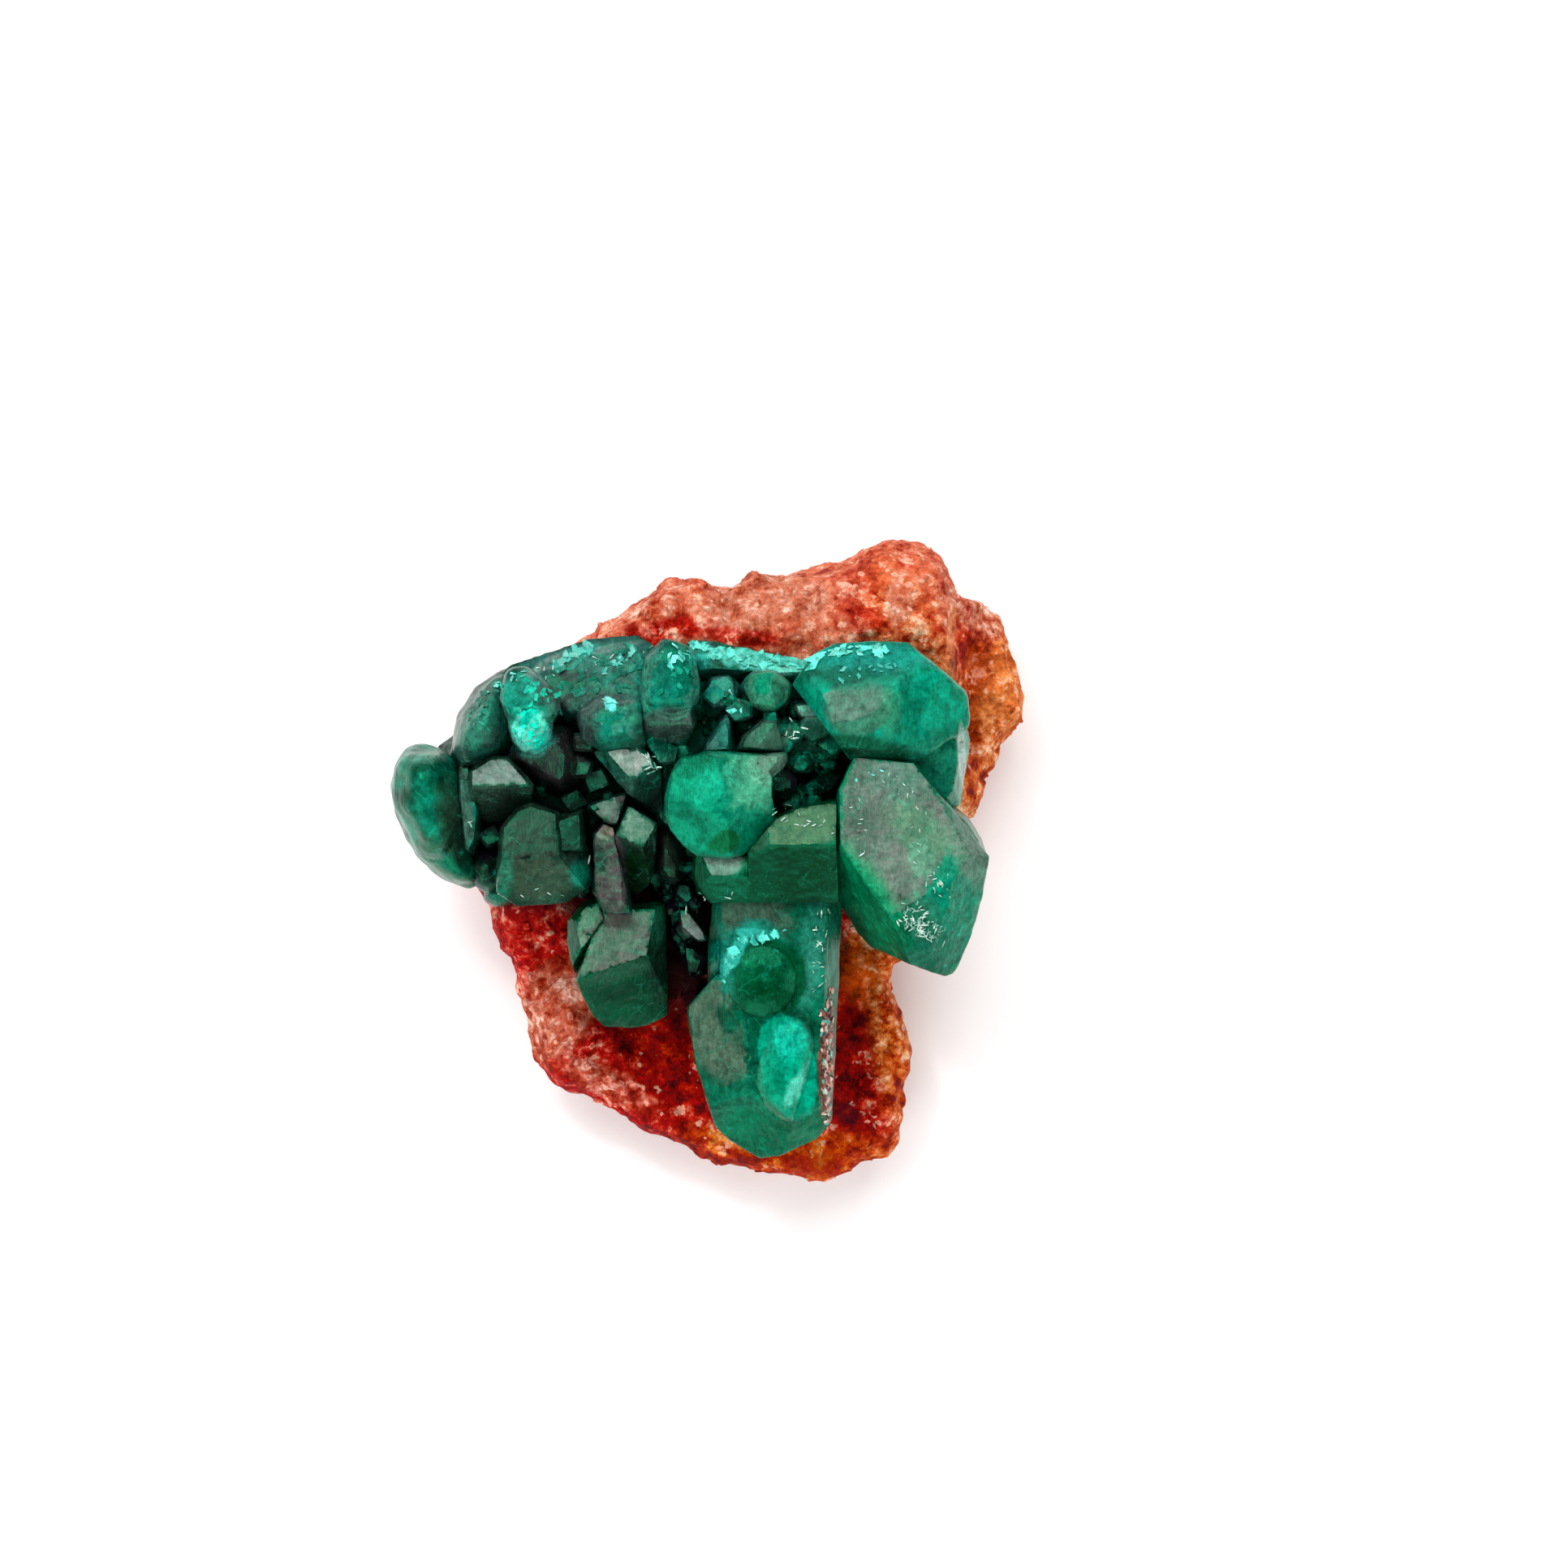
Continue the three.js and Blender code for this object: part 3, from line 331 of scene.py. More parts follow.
def feldspar(piece, name, lift=0.0, grain_size=0.95):
    """The rock's finish: grains of red, orange and pink feldspar, and deep red that is partly its
    own colour and partly painted shade.
    """
    f = Finish(name, IOR=1.53, Specular_IOR_Level=0.2, Specular_Tint=(1.0, 0.3, 0.2, 1))
    f.ragged = f.cloud(2.4, 3, 0.6)
    cells = f.node("TexVoronoi", {}, {"Vector": f.place, "Scale": 1.0 / grain_size}, "Color")
    sugar = f.cloud(1.1, 5, 0.72)
    mottle = f.part(cells, 0) * 0.24 + sugar * 1.9 + f.ragged * 1.3 + (lift - 1.24)
    red_rock = f.ramp(
        mottle, (0.1, 84, 0, 6), (0.3, 144, 4, 12), (0.5, 182, 34, 32), (0.68, 208, 92, 78),
        (0.9, 246, 186, 158))
    orange_rock = f.ramp(
        mottle, (0.1, 112, 12, 4), (0.28, 166, 46, 16), (0.48, 200, 98, 50), (0.68, 230, 140, 88),
        (0.9, 250, 206, 168))
    pink_rock = f.ramp(
        mottle, (0.1, 140, 34, 22), (0.32, 180, 88, 64), (0.52, 198, 124, 100),
        (0.82, 244, 206, 186))
    salmon_rock = f.ramp(
        mottle, (0.08, 150, 46, 34), (0.3, 186, 84, 62), (0.5, 200, 110, 84), (0.7, 214, 136, 108),
        (0.95, 240, 192, 164))
    tan_rock = f.ramp(
        mottle, (0.1, 140, 60, 40), (0.4, 186, 106, 80), (0.66, 204, 140, 118),
        (0.9, 236, 196, 176))
    deep_red_and_shade = f.ramp(
        mottle, (0.14, 64, 0, 8), (0.38, 132, 0, 2), (0.62, 170, 4, 6), (0.86, 208, 64, 44))
    rust_rock = f.ramp(
        mottle, (0.1, 110, 8, 4), (0.36, 172, 40, 10), (0.58, 206, 84, 24), (0.9, 240, 160, 90))
    colour = red_rock
    for oval, tone, strength in [  # an oval: x, y, radii, how soft and ragged, its turn
        ((4, 27, 30, 13.5, 0.1, 0.15), salmon_rock, 0.95),
        ((16.6, 17, 3.4, 8, 0.3, 0.4, 20), orange_rock, 0.55),
        ((24, 10, 5.5, 15, 0.15, 0.3), orange_rock, 1),
        ((15.4, -12, 2.7, 11, 0.3, 0.5, 6), orange_rock, 1),
        # Partly painted light: orange that is the rock's own, made brighter against the large
        # crystal's shadow.
        ((12.8, -8.2, 2, 2.6, 0.4, 0.6, 30), orange_rock, 1),
        ((8.5, -26, 7.6, 3, 0.3, 0.5, 14), orange_rock, 1),
        ((3, 21.4, 4.8, 2.6, 0.3, 0.6, 30), tan_rock, 0.9),
        ((7.6, 21.6, 2.2, 1.8, 0.25, 0.5, 10), tan_rock, 0.9),
        ((15.5, 21.4, 1.2, 2, 0.25, 0.5), tan_rock, 0.8),
        ((15.6, 24, 2.6, 1.6, 0.4, 0.5), paint(204, 98, 66), 0.6),
        ((0.6, -23.6, 3.4, 1.6, 0.3, 0.4, -20), rust_rock, 1),
        ((11.8, 22.4, 1.4, 2.4, 0.4, 0.8, -30), red_rock, 0.4),
        ((16.1, 24.7, 0.8, 0.7, 0.4, 0.8), red_rock, 0.6),
        ((13.4, 20.4, 0.9, 1.4, 0.4, 0.8), red_rock, 0.3),
        # Painted highlight along the lip of the crease.
        ((19.7, 16.4, 0.4, 6, 0.3, 0.5, -3), paint(240, 164, 116), 0.45),
        ((-5, 20.6, 3, 1.4, 0.4, 0.6, 30), pink_rock, 0.7),
        ((21.5, 21.6, 2.5, 1.2, 0.4, 0.6, -20), pink_rock, 0.8),
        ((-13.2, -12.4, 3, 4.2, 0.25, 0.6, -30), pink_rock, 0.75),
        ((-8.6, -18.4, 4.4, 1.2, 0.4, 0.6, -28), pink_rock, 0.45),
        ((-3.4, 19, 3.8, 1, 0.3, 0.6, 12), red_rock, 0.9),
        ((2.4, 18.6, 3.2, 0.7, 0.3, 0.6, -6), red_rock, 0.8),
        ((12.6, 19.4, 1.6, 1.4, 0.4, 0.6, 40), red_rock, 0.6),
        ((20.8, 19, 0.7, 2.6, 0.4, 0.6, -12), red_rock, 0.7),
        # Painted shade: deep red beside the prism and the near left crystals.
        ((-2.6, -15, 5.2, 7.4, 0.35, 0.4, 16), deep_red_and_shade, 1),
        ((11.4, -17.6, 2.3, 7.6, 0.35, 0.5, 4), deep_red_and_shade, 0.95),
        ((10.6, -12.4, 1, 2, 0.35, 0.5, 10), deep_red_and_shade, 0.6),
        ((5, -24.8, 1.5, 0.8, 0.3, 0.6), deep_red_and_shade, 0.8),
        ((13.6, -22.6, 1.2, 1.3, 0.3, 0.6), deep_red_and_shade, 0.7),
        ((6.6, -25.4, 6.4, 2.2, 0.3, 0.4, 14), rust_rock, 1),
        ((-17.4, -5.4, 2, 3, 0.5, 0.6), deep_red_and_shade, 0.45),
        ((24, 14, 2.2, 3.6, 0.5, 0.6), paint(240, 152, 92), 0.35),
        ((8, -25.4, 2.6, 1.1, 0.4, 0.6, 10), paint(150, 16, 0), 0.7),
        ((1.4, -23.8, 1.2, 0.6, 0.4, 0.6, -20), deep_red_and_shade, 0.7),
        # More painted light against the large crystal's shadow.
        ((12.2, -9.4, 1.5, 2.2, 0.4, 0.6, 10), paint(226, 96, 44), 0.45),
        # Painted shade on the low side of the crease.
        ((21.8, 16.6, 1.5, 3.4, 0.4, 0.6, -8), deep_red_and_shade, 0.6),
        ((21.4, 10, 1.3, 2.2, 0.4, 0.6), deep_red_and_shade, 0.55),
        ((23, 20, 1.8, 1.6, 0.4, 0.6), pink_rock, 0.6),
    ]:
        colour = f.blend(f.patch(*oval) * strength, colour, tone)
    # Single grains stand out crisply: pale ones, and dark red ones in between.
    single = f.part(f.node("TexVoronoi", {}, {"Vector": f.place, "Scale": 2.4}, "Color"), 1)
    colour = f.blend(f.step(single + f.ragged, 1.46, 1.5) * 0.45, colour, paint(252, 206, 178))
    colour = f.blend(f.step(single + f.ragged, 0.56, 0.53) * 0.5, colour, paint(110, 4, 8))
    # Painted shade: soft, dark ground where the crystals shade it, on the upper side alone.
    upper = f.step(f.node("SeparateXYZ", {}, {0: f.place}, "Z"), 5.0, 8.0)
    for oval, tone, strength in [
        ((-2.4, -8.4, 2.3, 6, 0.3, 0.25, 2), (0.004, 0.0008, 0.003, 1), 0.98),
        ((-9.6, -3.6, 3.4, 1.5, 0.3, 0.3), (0.008, 0.001, 0.003, 1), 0.9),
        ((-15, -2.4, 5, 1.6, 0.3, 0.3, -6), (0.05, 0.001, 0.004, 1), 0.7),
        ((-18.6, 2.6, 1.5, 3.6, 0.25, 0.2), (0.004, 0.001, 0.003, 1), 0.97),
        ((-19.6, 8.4, 2.2, 1.6, 0.25, 0.2), (0.01, 0.006, 0.006, 1), 0.9),
        ((-6, 6, 13, 7.5, 0.15, 0.1), (0.004, 0.002, 0.003, 1), 0.97),
        ((11.4, -21, 1.2, 0.9, 0.4, 0.5), (0.02, 0.0008, 0.006, 1), 0.8),
        ((10.6, -6.4, 0.7, 1.6, 0.4, 0.5, 20), (0.03, 0.001, 0.003, 1), 0.7),
    ]:
        colour = f.blend(f.patch(*oval) * upper * strength, colour, tone)
    grit = f.node("MapRange", {}, {"Value": f.cloud(0.42, 3, 0.85), 1: 0.3, 2: 0.7, 3: 0.6, 4: 1.4})
    colour = f.node("HueSaturation", {}, {"Color": colour, "Value": grit, "Saturation": 1.04})
    f.feed("Base Color", colour)
    f.feed("Roughness", 0.75 - f.step(sugar, 0.5, 0.8) * 0.35)
    relief = {"Strength": 0.7, "Distance": 0.22 * MM, "Height": f.cloud(0.36, 2, 0.7)}
    f.feed("Normal", f.node("Bump", {}, relief))
    piece.data.materials.append(f.material)


feldspar(rock, "red_feldspar_rock")
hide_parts("matrix_rock")
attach(rock, "root")


# ---- The grains on the rock ----
# Where the rock broke, single grains of feldspar stand out of its skin: blocky, from pale to
# red, set at all angles, and strewn over all of it that the crystals left open.
LOOSE_GRAINS = 1000
chance = Random(11)


def block_model(broken, width, length, height):
    """A small block whose edges are broken off that wide."""
    bpy.ops.mesh.primitive_cube_add(size=1)
    model = bpy.context.object
    with editing():
        bpy.ops.mesh.bevel(offset=broken, segments=1, affect="EDGES")
        bpy.ops.transform.resize(value=(width, length, height))
    return model


def strewn(name, model, spots):
    """Copies of a small model, joined in one piece. A spot is (place, up, size, squash)."""
    copies = []
    for place, up, size, squash in spots:
        made = bpy.data.objects.new(name, model.data.copy())
        bpy.context.scene.collection.objects.link(made)
        turn = up.to_track_quat("Z", "Y") @ Quaternion((0, 0, 1), chance.uniform(0, math.tau))
        stretch = Matrix.Diagonal((size * chance.uniform(0.8, 1.3), size, size * squash, 1))
        made.data.transform(Matrix.Translation(place) @ turn.to_matrix().to_4x4() @ stretch)
        copies.append(made)
    bpy.ops.object.select_all(action="DESELECT")
    for made in copies:
        made.select_set(True)
    bpy.context.view_layer.objects.active = copies[0]
    bpy.ops.object.join()
    piece = bpy.context.object
    piece.name = name
    bpy.data.objects.remove(model)
    return piece


# No grain sits on the back or under an overhang.
open_faces = [
    face for face in rock.data.polygons if face.center.z > 1.2 * MM and face.normal.z > -0.25
]
spots = []
for face in chance.choices(open_faces, [face.area for face in open_faces], k=LOOSE_GRAINS):
    beside = walls.find_nearest(face.center, 0.5 * MM)[0]
    above = walls.ray_cast(face.center, Vector((0, 0, 1)))[0]
    if beside is None and above is None:
        up = (face.normal + 0.7 * Vector([chance.uniform(-1, 1) for _ in range(3)])).normalized()
        place = face.center - face.normal * 0.1 * MM
        spots.append((place, up, chance.uniform(0.3, 0.8) ** 1.4 * MM, 0.8))
grains = strewn("rock_grains", block_model(0.16, 1.15, 0.9, 0.8), spots)
feldspar(grains, "pale_feldspar_grains", 0.1, 0.7)
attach(grains, "root")


# ---- The long prism ----
# Dioptase: emerald green, glassy and see-through at thin places, cloudy inside. This prism lies
# flat on the rock and points to the near side, with a round and a lens-shaped crystal on it.
def tint(red, green, blue):
    """A crystal's colour: some of its light goes through it, so its skin is stronger."""
    return paint(red, green, blue, 0.68)


TURQUOISE, PALE_EDGE, LIT_FLECK = tint(60, 214, 196), tint(24, 210, 165), tint(0, 206, 150)
# Painted shade: the near-black laid in the gaps and hollows between the crystals.
SHADE_BLACK = (0.009, 0.002, 0.009, 1)
SWELL, ABSORPTION = 0.21, 450.0


def crystal_piece(node, name, depth, rounded=(), soften=24, lumps=0.7, rough=0.07,
                  voxel=None):
    """A crystal with crisp edges, or rounded in ovals (x, y, radii, from what height up)."""
    piece = copy_of(node, name)
    if voxel:
        shape_with(piece, "REMESH", mode="VOXEL", voxel_size=voxel * MM)
    else:
        shape_with(piece, "REMESH", mode="SHARP", octree_depth=depth, scale=0.94,
                   use_remove_disconnected=False)
    if rounded:
        def weight(p):
            """Full inside the ovals, and less and less until 1.4 times their radii."""
            return max(
                1.4 - math.hypot((p.x - x) / rx, (p.y - y) / ry) if p.z > low else 0
                for x, y, rx, ry, low in rounded
            ) * 4
        group = group_where(piece, "rounded", weight)
        shape_with(piece, "SMOOTH", factor=0.5, iterations=soften, vertex_group=group)
        shape_with(piece, "DISPLACE", ("CLOUDS", 2.9, {"noise_depth": 1}),
                   strength=lumps * MM, mid_level=0.5, vertex_group=group)
    shape_with(piece, "SMOOTH", factor=0.35, iterations=1)
    # It swells until it touches the crystals that grew against it. Then its faces turn uneven.
    shape_with(piece, "DISPLACE", strength=SWELL * MM, mid_level=0)
    shape_with(piece, "DISPLACE", ("CLOUDS", 2.2, {"noise_depth": 2}),
               strength=0.16 * MM, mid_level=0.4)
    shape_with(piece, "DISPLACE", ("CLOUDS", 0.6, {"noise_depth": 1}),
               strength=rough * MM, mid_level=0.5)
    bpy.ops.object.shade_smooth_by_angle(angle=math.radians(30))
    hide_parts(node)
    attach(piece, "root")
    return piece


def pressed(piece, x, y, rx, ry, height, share):
    """Flattens what stands higher than a height inside an oval: growth there met no room."""
    for vertex in piece.data.vertices:
        place = vertex.co / MM
        if place.z > height and math.hypot((place.x - x) / rx, (place.y - y) / ry) < 1:
            vertex.co.z = (height + (place.z - height) * share) * MM


def lean_of(azimuth, tilt):
    """The way that a face looks, by its azimuth from +X and by its tilt out of the level."""
    turn, drop = math.radians(azimuth), math.radians(tilt)
    out = math.sin(drop)
    return Vector((out * math.cos(turn), out * math.sin(turn), math.cos(drop)))


def trimmed(piece, place, azimuth, tilt):
    """Cuts off what stands out of a flat face, given by a place on it and by its lean."""
    lean = lean_of(azimuth, tilt)
    for vertex in piece.data.vertices:
        over = (vertex.co - Vector(place) * MM).dot(lean)
        if over > 0:
            vertex.co -= lean * over


def zoned(f, colour, zones):
    """Zones over a colour: (oval, colour, strength) and, for one flat face, how it leans.

    A colour is its tint, or is painted already. The lean is the face's azimuth, its tilt and how
    many degrees off them it may be. Steep walls keep the crystal's own colour, or take the painted
    black shade.
    """
    for oval, tone, strength, *lean in zones:
        tone = tint(*tone) if len(tone) == 3 else tone
        mask = strength if tone == SHADE_BLACK else f.upper * strength
        if oval:
            mask = f.patch(*oval) * mask
        if lean:
            azimuth, tilt, *spread = lean
            width = spread[0] if spread else 9
            edge = math.cos(math.radians(width + 3)), math.cos(math.radians(width - 3))
            mask = f.faces(lean_of(azimuth, tilt), *edge) * mask
        colour = f.blend(mask, colour, tone)
    return colour


def dioptase(piece, name, body, shade, zones, streak=0, shine=0.12, clear=0.3, gloss=0.16,
             hollow=None, lit=(), patchy=0.16):
    """The crystals' finish: cloudy green with its zones, painted black shade in the hollows, and
    the lit zones over it.

    Streak turns the growth lines. A hollow is painted black shade below its first height and none
    above its second.
    """
    f = Finish(name, IOR=1.66, Transmission_Weight=clear, Specular_IOR_Level=gloss,
               Specular_Tint=(0.05, 1.0, 0.5, 1))
    f.ragged = f.cloud(1.1, 3, 0.65)
    f.upper = f.faces((0, 0, 1), 0.04, 0.26)
    veils = f.cloud(3.2, 3, 0.65, shift=5.0)
    fine = f.cloud(0.34, 3, 0.8)
    colour = f.blend(f.step(veils, 0.36, 0.62), shade, body)
    colour = zoned(f, colour, zones)
    # Cloudy inside: dark and light flecks, streaks of growth, and a painted highlight on the edges.
    growth = f.cloud(0.55, 2, 0.6, stretch=(streak, 2.4, 0.4, 1.0))
    shadow = f.step(fine * 0.8 + veils * 0.6 + growth * 0.3, 0.92, 0.62) * 0.62
    colour = f.blend(shadow, colour, f.blend(0.75, colour, (0, 0.003, 0.002, 1)))
    flecks = f.step(fine + growth * 0.5, 0.82, 0.96) * f.step(veils, 0.42, 0.6)
    colour = f.blend(flecks * 0.22, colour, LIT_FLECK)
    warp = f.node("TexNoise", {}, {"Vector": f.place, "Scale": 0.7, "Detail": 3.0}, "Color")
    bent = f.node("VectorMath", {"operation": "ADD"}, {0: f.place, 1: warp}, "Vector")
    crack = f.node(
        "TexVoronoi", {"feature": "DISTANCE_TO_EDGE"}, {"Vector": bent, "Scale": 0.42}, "Distance")
    healed = f.step(crack, 0.03, 0.006) * f.step(f.cloud(2.0, 2, 0.5, shift=3.0), 0.5, 0.62)
    colour = f.blend(healed * 0.22, colour, PALE_EDGE)
    # Painted highlight: the sharp edges turn pale in patches.
    edge = f.node("NewGeometry", {}, {}, "Pointiness")
    edge_highlight = f.step(edge, 0.54, 0.66) * f.step(f.ragged, 0.46, 0.62)
    colour = f.blend(edge_highlight * 0.5, colour, PALE_EDGE)
    # Painted shade: black low down between the crystals, none higher up.
    if hollow:
        height = f.node("SeparateXYZ", {}, {0: f.place}, "Z")
        deep = f.step(height + f.ragged * 2.0, hollow[1] + 1, hollow[0] + 1)
        colour = f.blend(deep * 0.96, colour, SHADE_BLACK)
    colour = zoned(f, colour, lit)
    cloudy = f.cloud(0.75, 5, 0.78, shift=9.0)
    grade = f.node("MapRange", {}, {"Value": cloudy, 1: 0.32, 2: 0.68, 3: 0.45, 4: 1.6})
    colour = f.node("HueSaturation", {}, {"Color": colour, "Value": grade})
    # It grew in blocks: their bounds show as crisp steps in how dark and how grey it is.
    sockets = {"Vector": bent, "Rotation": (0, 0, streak), "Scale": (0.85, 0.45, 0.7)}
    sockets = {"Vector": f.node("Mapping", {}, sockets), "Scale": 1.0}
    block = f.node("TexVoronoi", {"distance": "CHEBYCHEV"}, sockets, "Color")
    dark = f.part(block, 0) * (2 * patchy) + (1 - patchy)
    dull = 1 - f.step(f.part(block, 1), 0.55, 0.6) * (0.8 * patchy - 0.128)
    colour = f.node("HueSaturation", {}, {"Color": colour, "Value": dark, "Saturation": dull})
    f.feed("Base Color", colour)
    f.feed("Roughness", f.ragged * 0.22 + shine)
    relief = growth + cloudy * 0.8
    f.feed("Normal", f.node("Bump", {}, {"Strength": 0.4, "Distance": 0.12 * MM, "Height": relief}))
    sockets = {"Color": (0.02, 0.62, 0.36, 1), "Density": ABSORPTION}
    depth = f.node("VolumeAbsorption", {}, sockets)
    f.tree.links.new(depth.socket, f.tree.nodes["Material Output"].inputs["Volume"])
    piece.data.materials.append(f.material)


long_prism = crystal_piece(
    "long_prism", "long_prism_crystal", 7,
    rounded=[(4.3, -9.2, 2.8, 2.9, 19.9), (6.3, -16.5, 1.8, 4, 20.2)], soften=5, lumps=0.25)
pressed(long_prism, 4.3, -9.3, 3.4, 3.4, 20.9, 0.4)
# The step where the left face starts is broken off at a slant.
STEP_X, STEP_Y, STEP_END = 0.7, -8.9, -7
for vertex in long_prism.data.vertices:
    x, y = vertex.co.x / MM, vertex.co.y / MM
    slant = STEP_Y + 1.15 * (x - STEP_X)
    if x < STEP_X and slant < y < STEP_END:
        vertex.co.y = slant * MM
dioptase(long_prism, "long_prism_green", tint(10, 124, 92), tint(4, 88, 62), [
    # Painted sheen: grey on the top face and on the left face.
    ((2.2, -4.6, 4.2, 3.2, 0.3, 0.4), (78, 104, 88), 0.9, 270, 2),
    ((0.6, -12, 3.2, 5.8, 0.12, 0.2, 12), (96, 116, 98), 0.95, 193.6, 21),
    ((1.5, -12.8, 0.7, 1.5, 0.3, 0.7, 30), (0, 62, 44), 0.85),
    ((9, -6.4, 1.6, 5, 0.3, 0.7, -8), (40, 150, 122), 0.8),
    ((9.6, -16.4, 0.7, 4.8, 0.2, 0.5, -2), (150, 84, 70), 0.85),
    ((5, -22.2, 5, 2.6, 0.2, 0.3), (0, 122, 84), 0.9),
    ((3.6, -12.4, 2.4, 2.6, 0.4, 0.5, 20), (0, 96, 66), 0.8),
    ((3.5, -7.9, 3.2, 3.3, 0.12, 0.4), (10, 150, 126), 0.85),
    ((8.2, -8.6, 0.7, 2.6, 0.4, 0.6, -14), (60, 170, 144), 0.8),
    ((4.9, -9.2, 3.1, 3.1, 0.1, 0.2), (0, 92, 52), 0.97),
    ((4.4, -11, 2.4, 1.3, 0.5, 0.4), (0, 60, 24), 0.8),
    ((1.9, -7.6, 0.6, 1.8, 0.25, 0.6, -32), TURQUOISE, 0.9),
    ((3.8, -5.7, 1.6, 0.4, 0.3, 0.6, -6), TURQUOISE, 0.8),
    ((6.4, -16.6, 2.2, 4.5, 0.05, 0.15, 14), paint(0, 164, 128), 0.98),
    ((5, -18, 1, 1.6, 0.4, 0.5, 16), paint(0, 150, 110), 0.6),
    # Painted highlight: a lighter upper left on the lens, and glint lines on its right.
    ((6.6, -14.2, 1.3, 1.6, 0.3, 0.6), paint(20, 216, 184), 0.8),
    ((7, -18.2, 0.5, 1.7, 0.4, 1, -28), paint(120, 246, 222), 0.55),
])


# ---- The large crystal on the right ----
# A thick crystal with one broad face, painted grey as the sheen of the far soft box. Its near
# right side broke and healed rough, and the glassy green of its body shows there.
grey_crystal = crystal_piece("right_large_crystal", "large_grey_crystal", 7)
dioptase(grey_crystal, "large_grey_green", tint(0, 122, 88), tint(0, 96, 64), [
    # Painted sheen: grey on the broad face, lighter in two places.
    (None, (128, 116, 118), 0.95, 81, 14.7, 8),
    ((17.2, 2.6, 1.6, 3, 0.4, 0.5, 40), (104, 146, 112), 0.65, 81, 14.7, 8),
    ((15.2, 7.2, 2.6, 1.6, 0.5, 0.5, -20), (112, 140, 136), 0.5, 81, 14.7, 8),
    ((20.3, -3.2, 2.8, 4.3, 0.12, 0.45), paint(0, 140, 108), 0.95),
    ((17.2, -4.4, 1.4, 1.8, 0.3, 0.9, 30), (60, 160, 124), 0.6),
    ((17.3, 0.4, 1.1, 1.5, 0.15, 0.5, 10), (118, 176, 146), 0.6),
    ((21, 1.2, 1.3, 3.2, 0.3, 0.2, 20), (124, 142, 128), 0.7),
    ((12.9, -3, 1.8, 5.2, 0.4, 0.3, 30), paint(0, 142, 92), 0.9),
    ((18.4, -7.4, 2.6, 1.6, 0.3, 0.4, 20), paint(20, 104, 82), 0.8),
], streak=0.9)


# ---- The upper right crystal ----
# Its rounded right part is clear, bright green. Its far face is under a turquoise crust, and a
# wedge of the same crystal stands below it.
upper_right = crystal_piece(
    "upper_right_crystal", "upper_right_green_crystal", 7,
    rounded=[(17, 12.9, 3.6, 3.2, 18.5)], soften=60, lumps=0.35)
dioptase(upper_right, "upper_right_green", paint(0, 158, 126), paint(0, 124, 94), [
    ((12, 12.8, 2.7, 2.4, 0.08, 0.15), (76, 128, 106), 0.85),
    # Painted sheen on its flat grey face.
    ((11.9, 12.8, 3.2, 2.4, 0.1, 0.15, -6), (112, 128, 122), 0.94, 90, 13.5, 9),
    ((14.6, 12.4, 0.9, 1.8, 0.5, 0.6), (70, 170, 128), 0.6),
    ((11.8, 15.4, 4.4, 1.3, 0.4, 0.5, -4), (34, 116, 98), 0.8),
    ((12.6, 17, 5.2, 1.2, 0.3, 0.8, -2), (30, 170, 156), 0.75),
    # Painted shade along its near underside.
    ((12, 9.1, 5.8, 1.3, 0.25, 0.3, -6), (0, 44, 16), 0.92),
    ((18.4, 7.6, 2.4, 2.8, 0.2, 0.2), paint(22, 122, 96), 0.85),
    ((20.6, 8.6, 0.35, 2.6, 0.3, 0.2, 3), (200, 224, 214), 0.9),
], streak=0.2)


# ---- The bright crystal in the middle ----
# Cloudy, light green and almost opaque dioptase, with a paler cracked face on its right and a
# ragged end. It is rounded by growth, and four flat faces are worn into its dome.
centre = crystal_piece(
    "centre_bright_crystal", "middle_bright_crystal", 6,
    rounded=[(0.8, 4.6, 4.0, 4.1, 21.5)], soften=3, lumps=0.4)
pressed(centre, 1, 4.8, 6, 6, 24.6, 0.45)
trimmed(centre, (2.6, 6.2, 25.2), 40, 27)
trimmed(centre, (-1.4, 6.6, 25.1), 140, 22)
trimmed(centre, (0.4, 2.4, 25.0), 236, 30)
trimmed(centre, (3.2, 3.4, 24.6), -30, 40)
dioptase(centre, "middle_bright_green", tint(8, 146, 110), tint(0, 118, 86), [
    ((3.8, 6.9, 2.5, 2.4, 0.3, 0.7, -20), (84, 180, 142), 0.8),
    ((4.4, 7.6, 1.4, 1.2, 0.2, 0.5, -20), (110, 190, 154), 0.8),
    ((5.2, 8.2, 1.4, 1, 0.3, 0.2), (118, 160, 138), 0.85),
    ((1.4, 1.8, 1.4, 0.9, 0.2, 0.5, 16), (4, 88, 30), 0.85),
    ((3.5, 2.3, 1.3, 0.9, 0.1, 0.3, 30), (0, 112, 80), 0.85),
    ((-1.6, 7.8, 1.8, 0.7, 0.4, 0.5, 20), (10, 112, 80), 0.6),
    ((0.4, 6.4, 2, 1.4, 0.5, 0.6, 30), (20, 190, 150), 0.5),
], clear=0.12)


# ---- The crystal at the left end ----
# A lump of dioptase, rounded by growth, deep green and glassy, that hangs out over the rock's
# edge. It is smoothed all over, so it is meshed evenly first.
left_end = crystal_piece(
    "left_end_crystal", "left_end_green_crystal", 6,
    rounded=[(-22.5, 4, 8, 10, 3.0)], soften=60, lumps=0.8, voxel=0.26)
dioptase(left_end, "left_end_green", tint(8, 128, 100), tint(0, 74, 52), [
    # Painted shade on its side by the blocks.
    ((-20.9, 3.2, 1.3, 3.6, 0.4, 0.4, 8), (34, 52, 38), 0.85),
    ((-21.4, -0.9, 2.2, 0.9, 0.4, 0.3, -30), (14, 128, 90), 0.7),
    # Painted highlight on its far rim.
    ((-23.6, 8.8, 1.8, 0.6, 0.4, 0.5), (90, 160, 140), 0.6),
    ((-23.2, 1.4, 1, 1, 0.5, 0.5), (40, 76, 40), 0.5),
], clear=0.1)
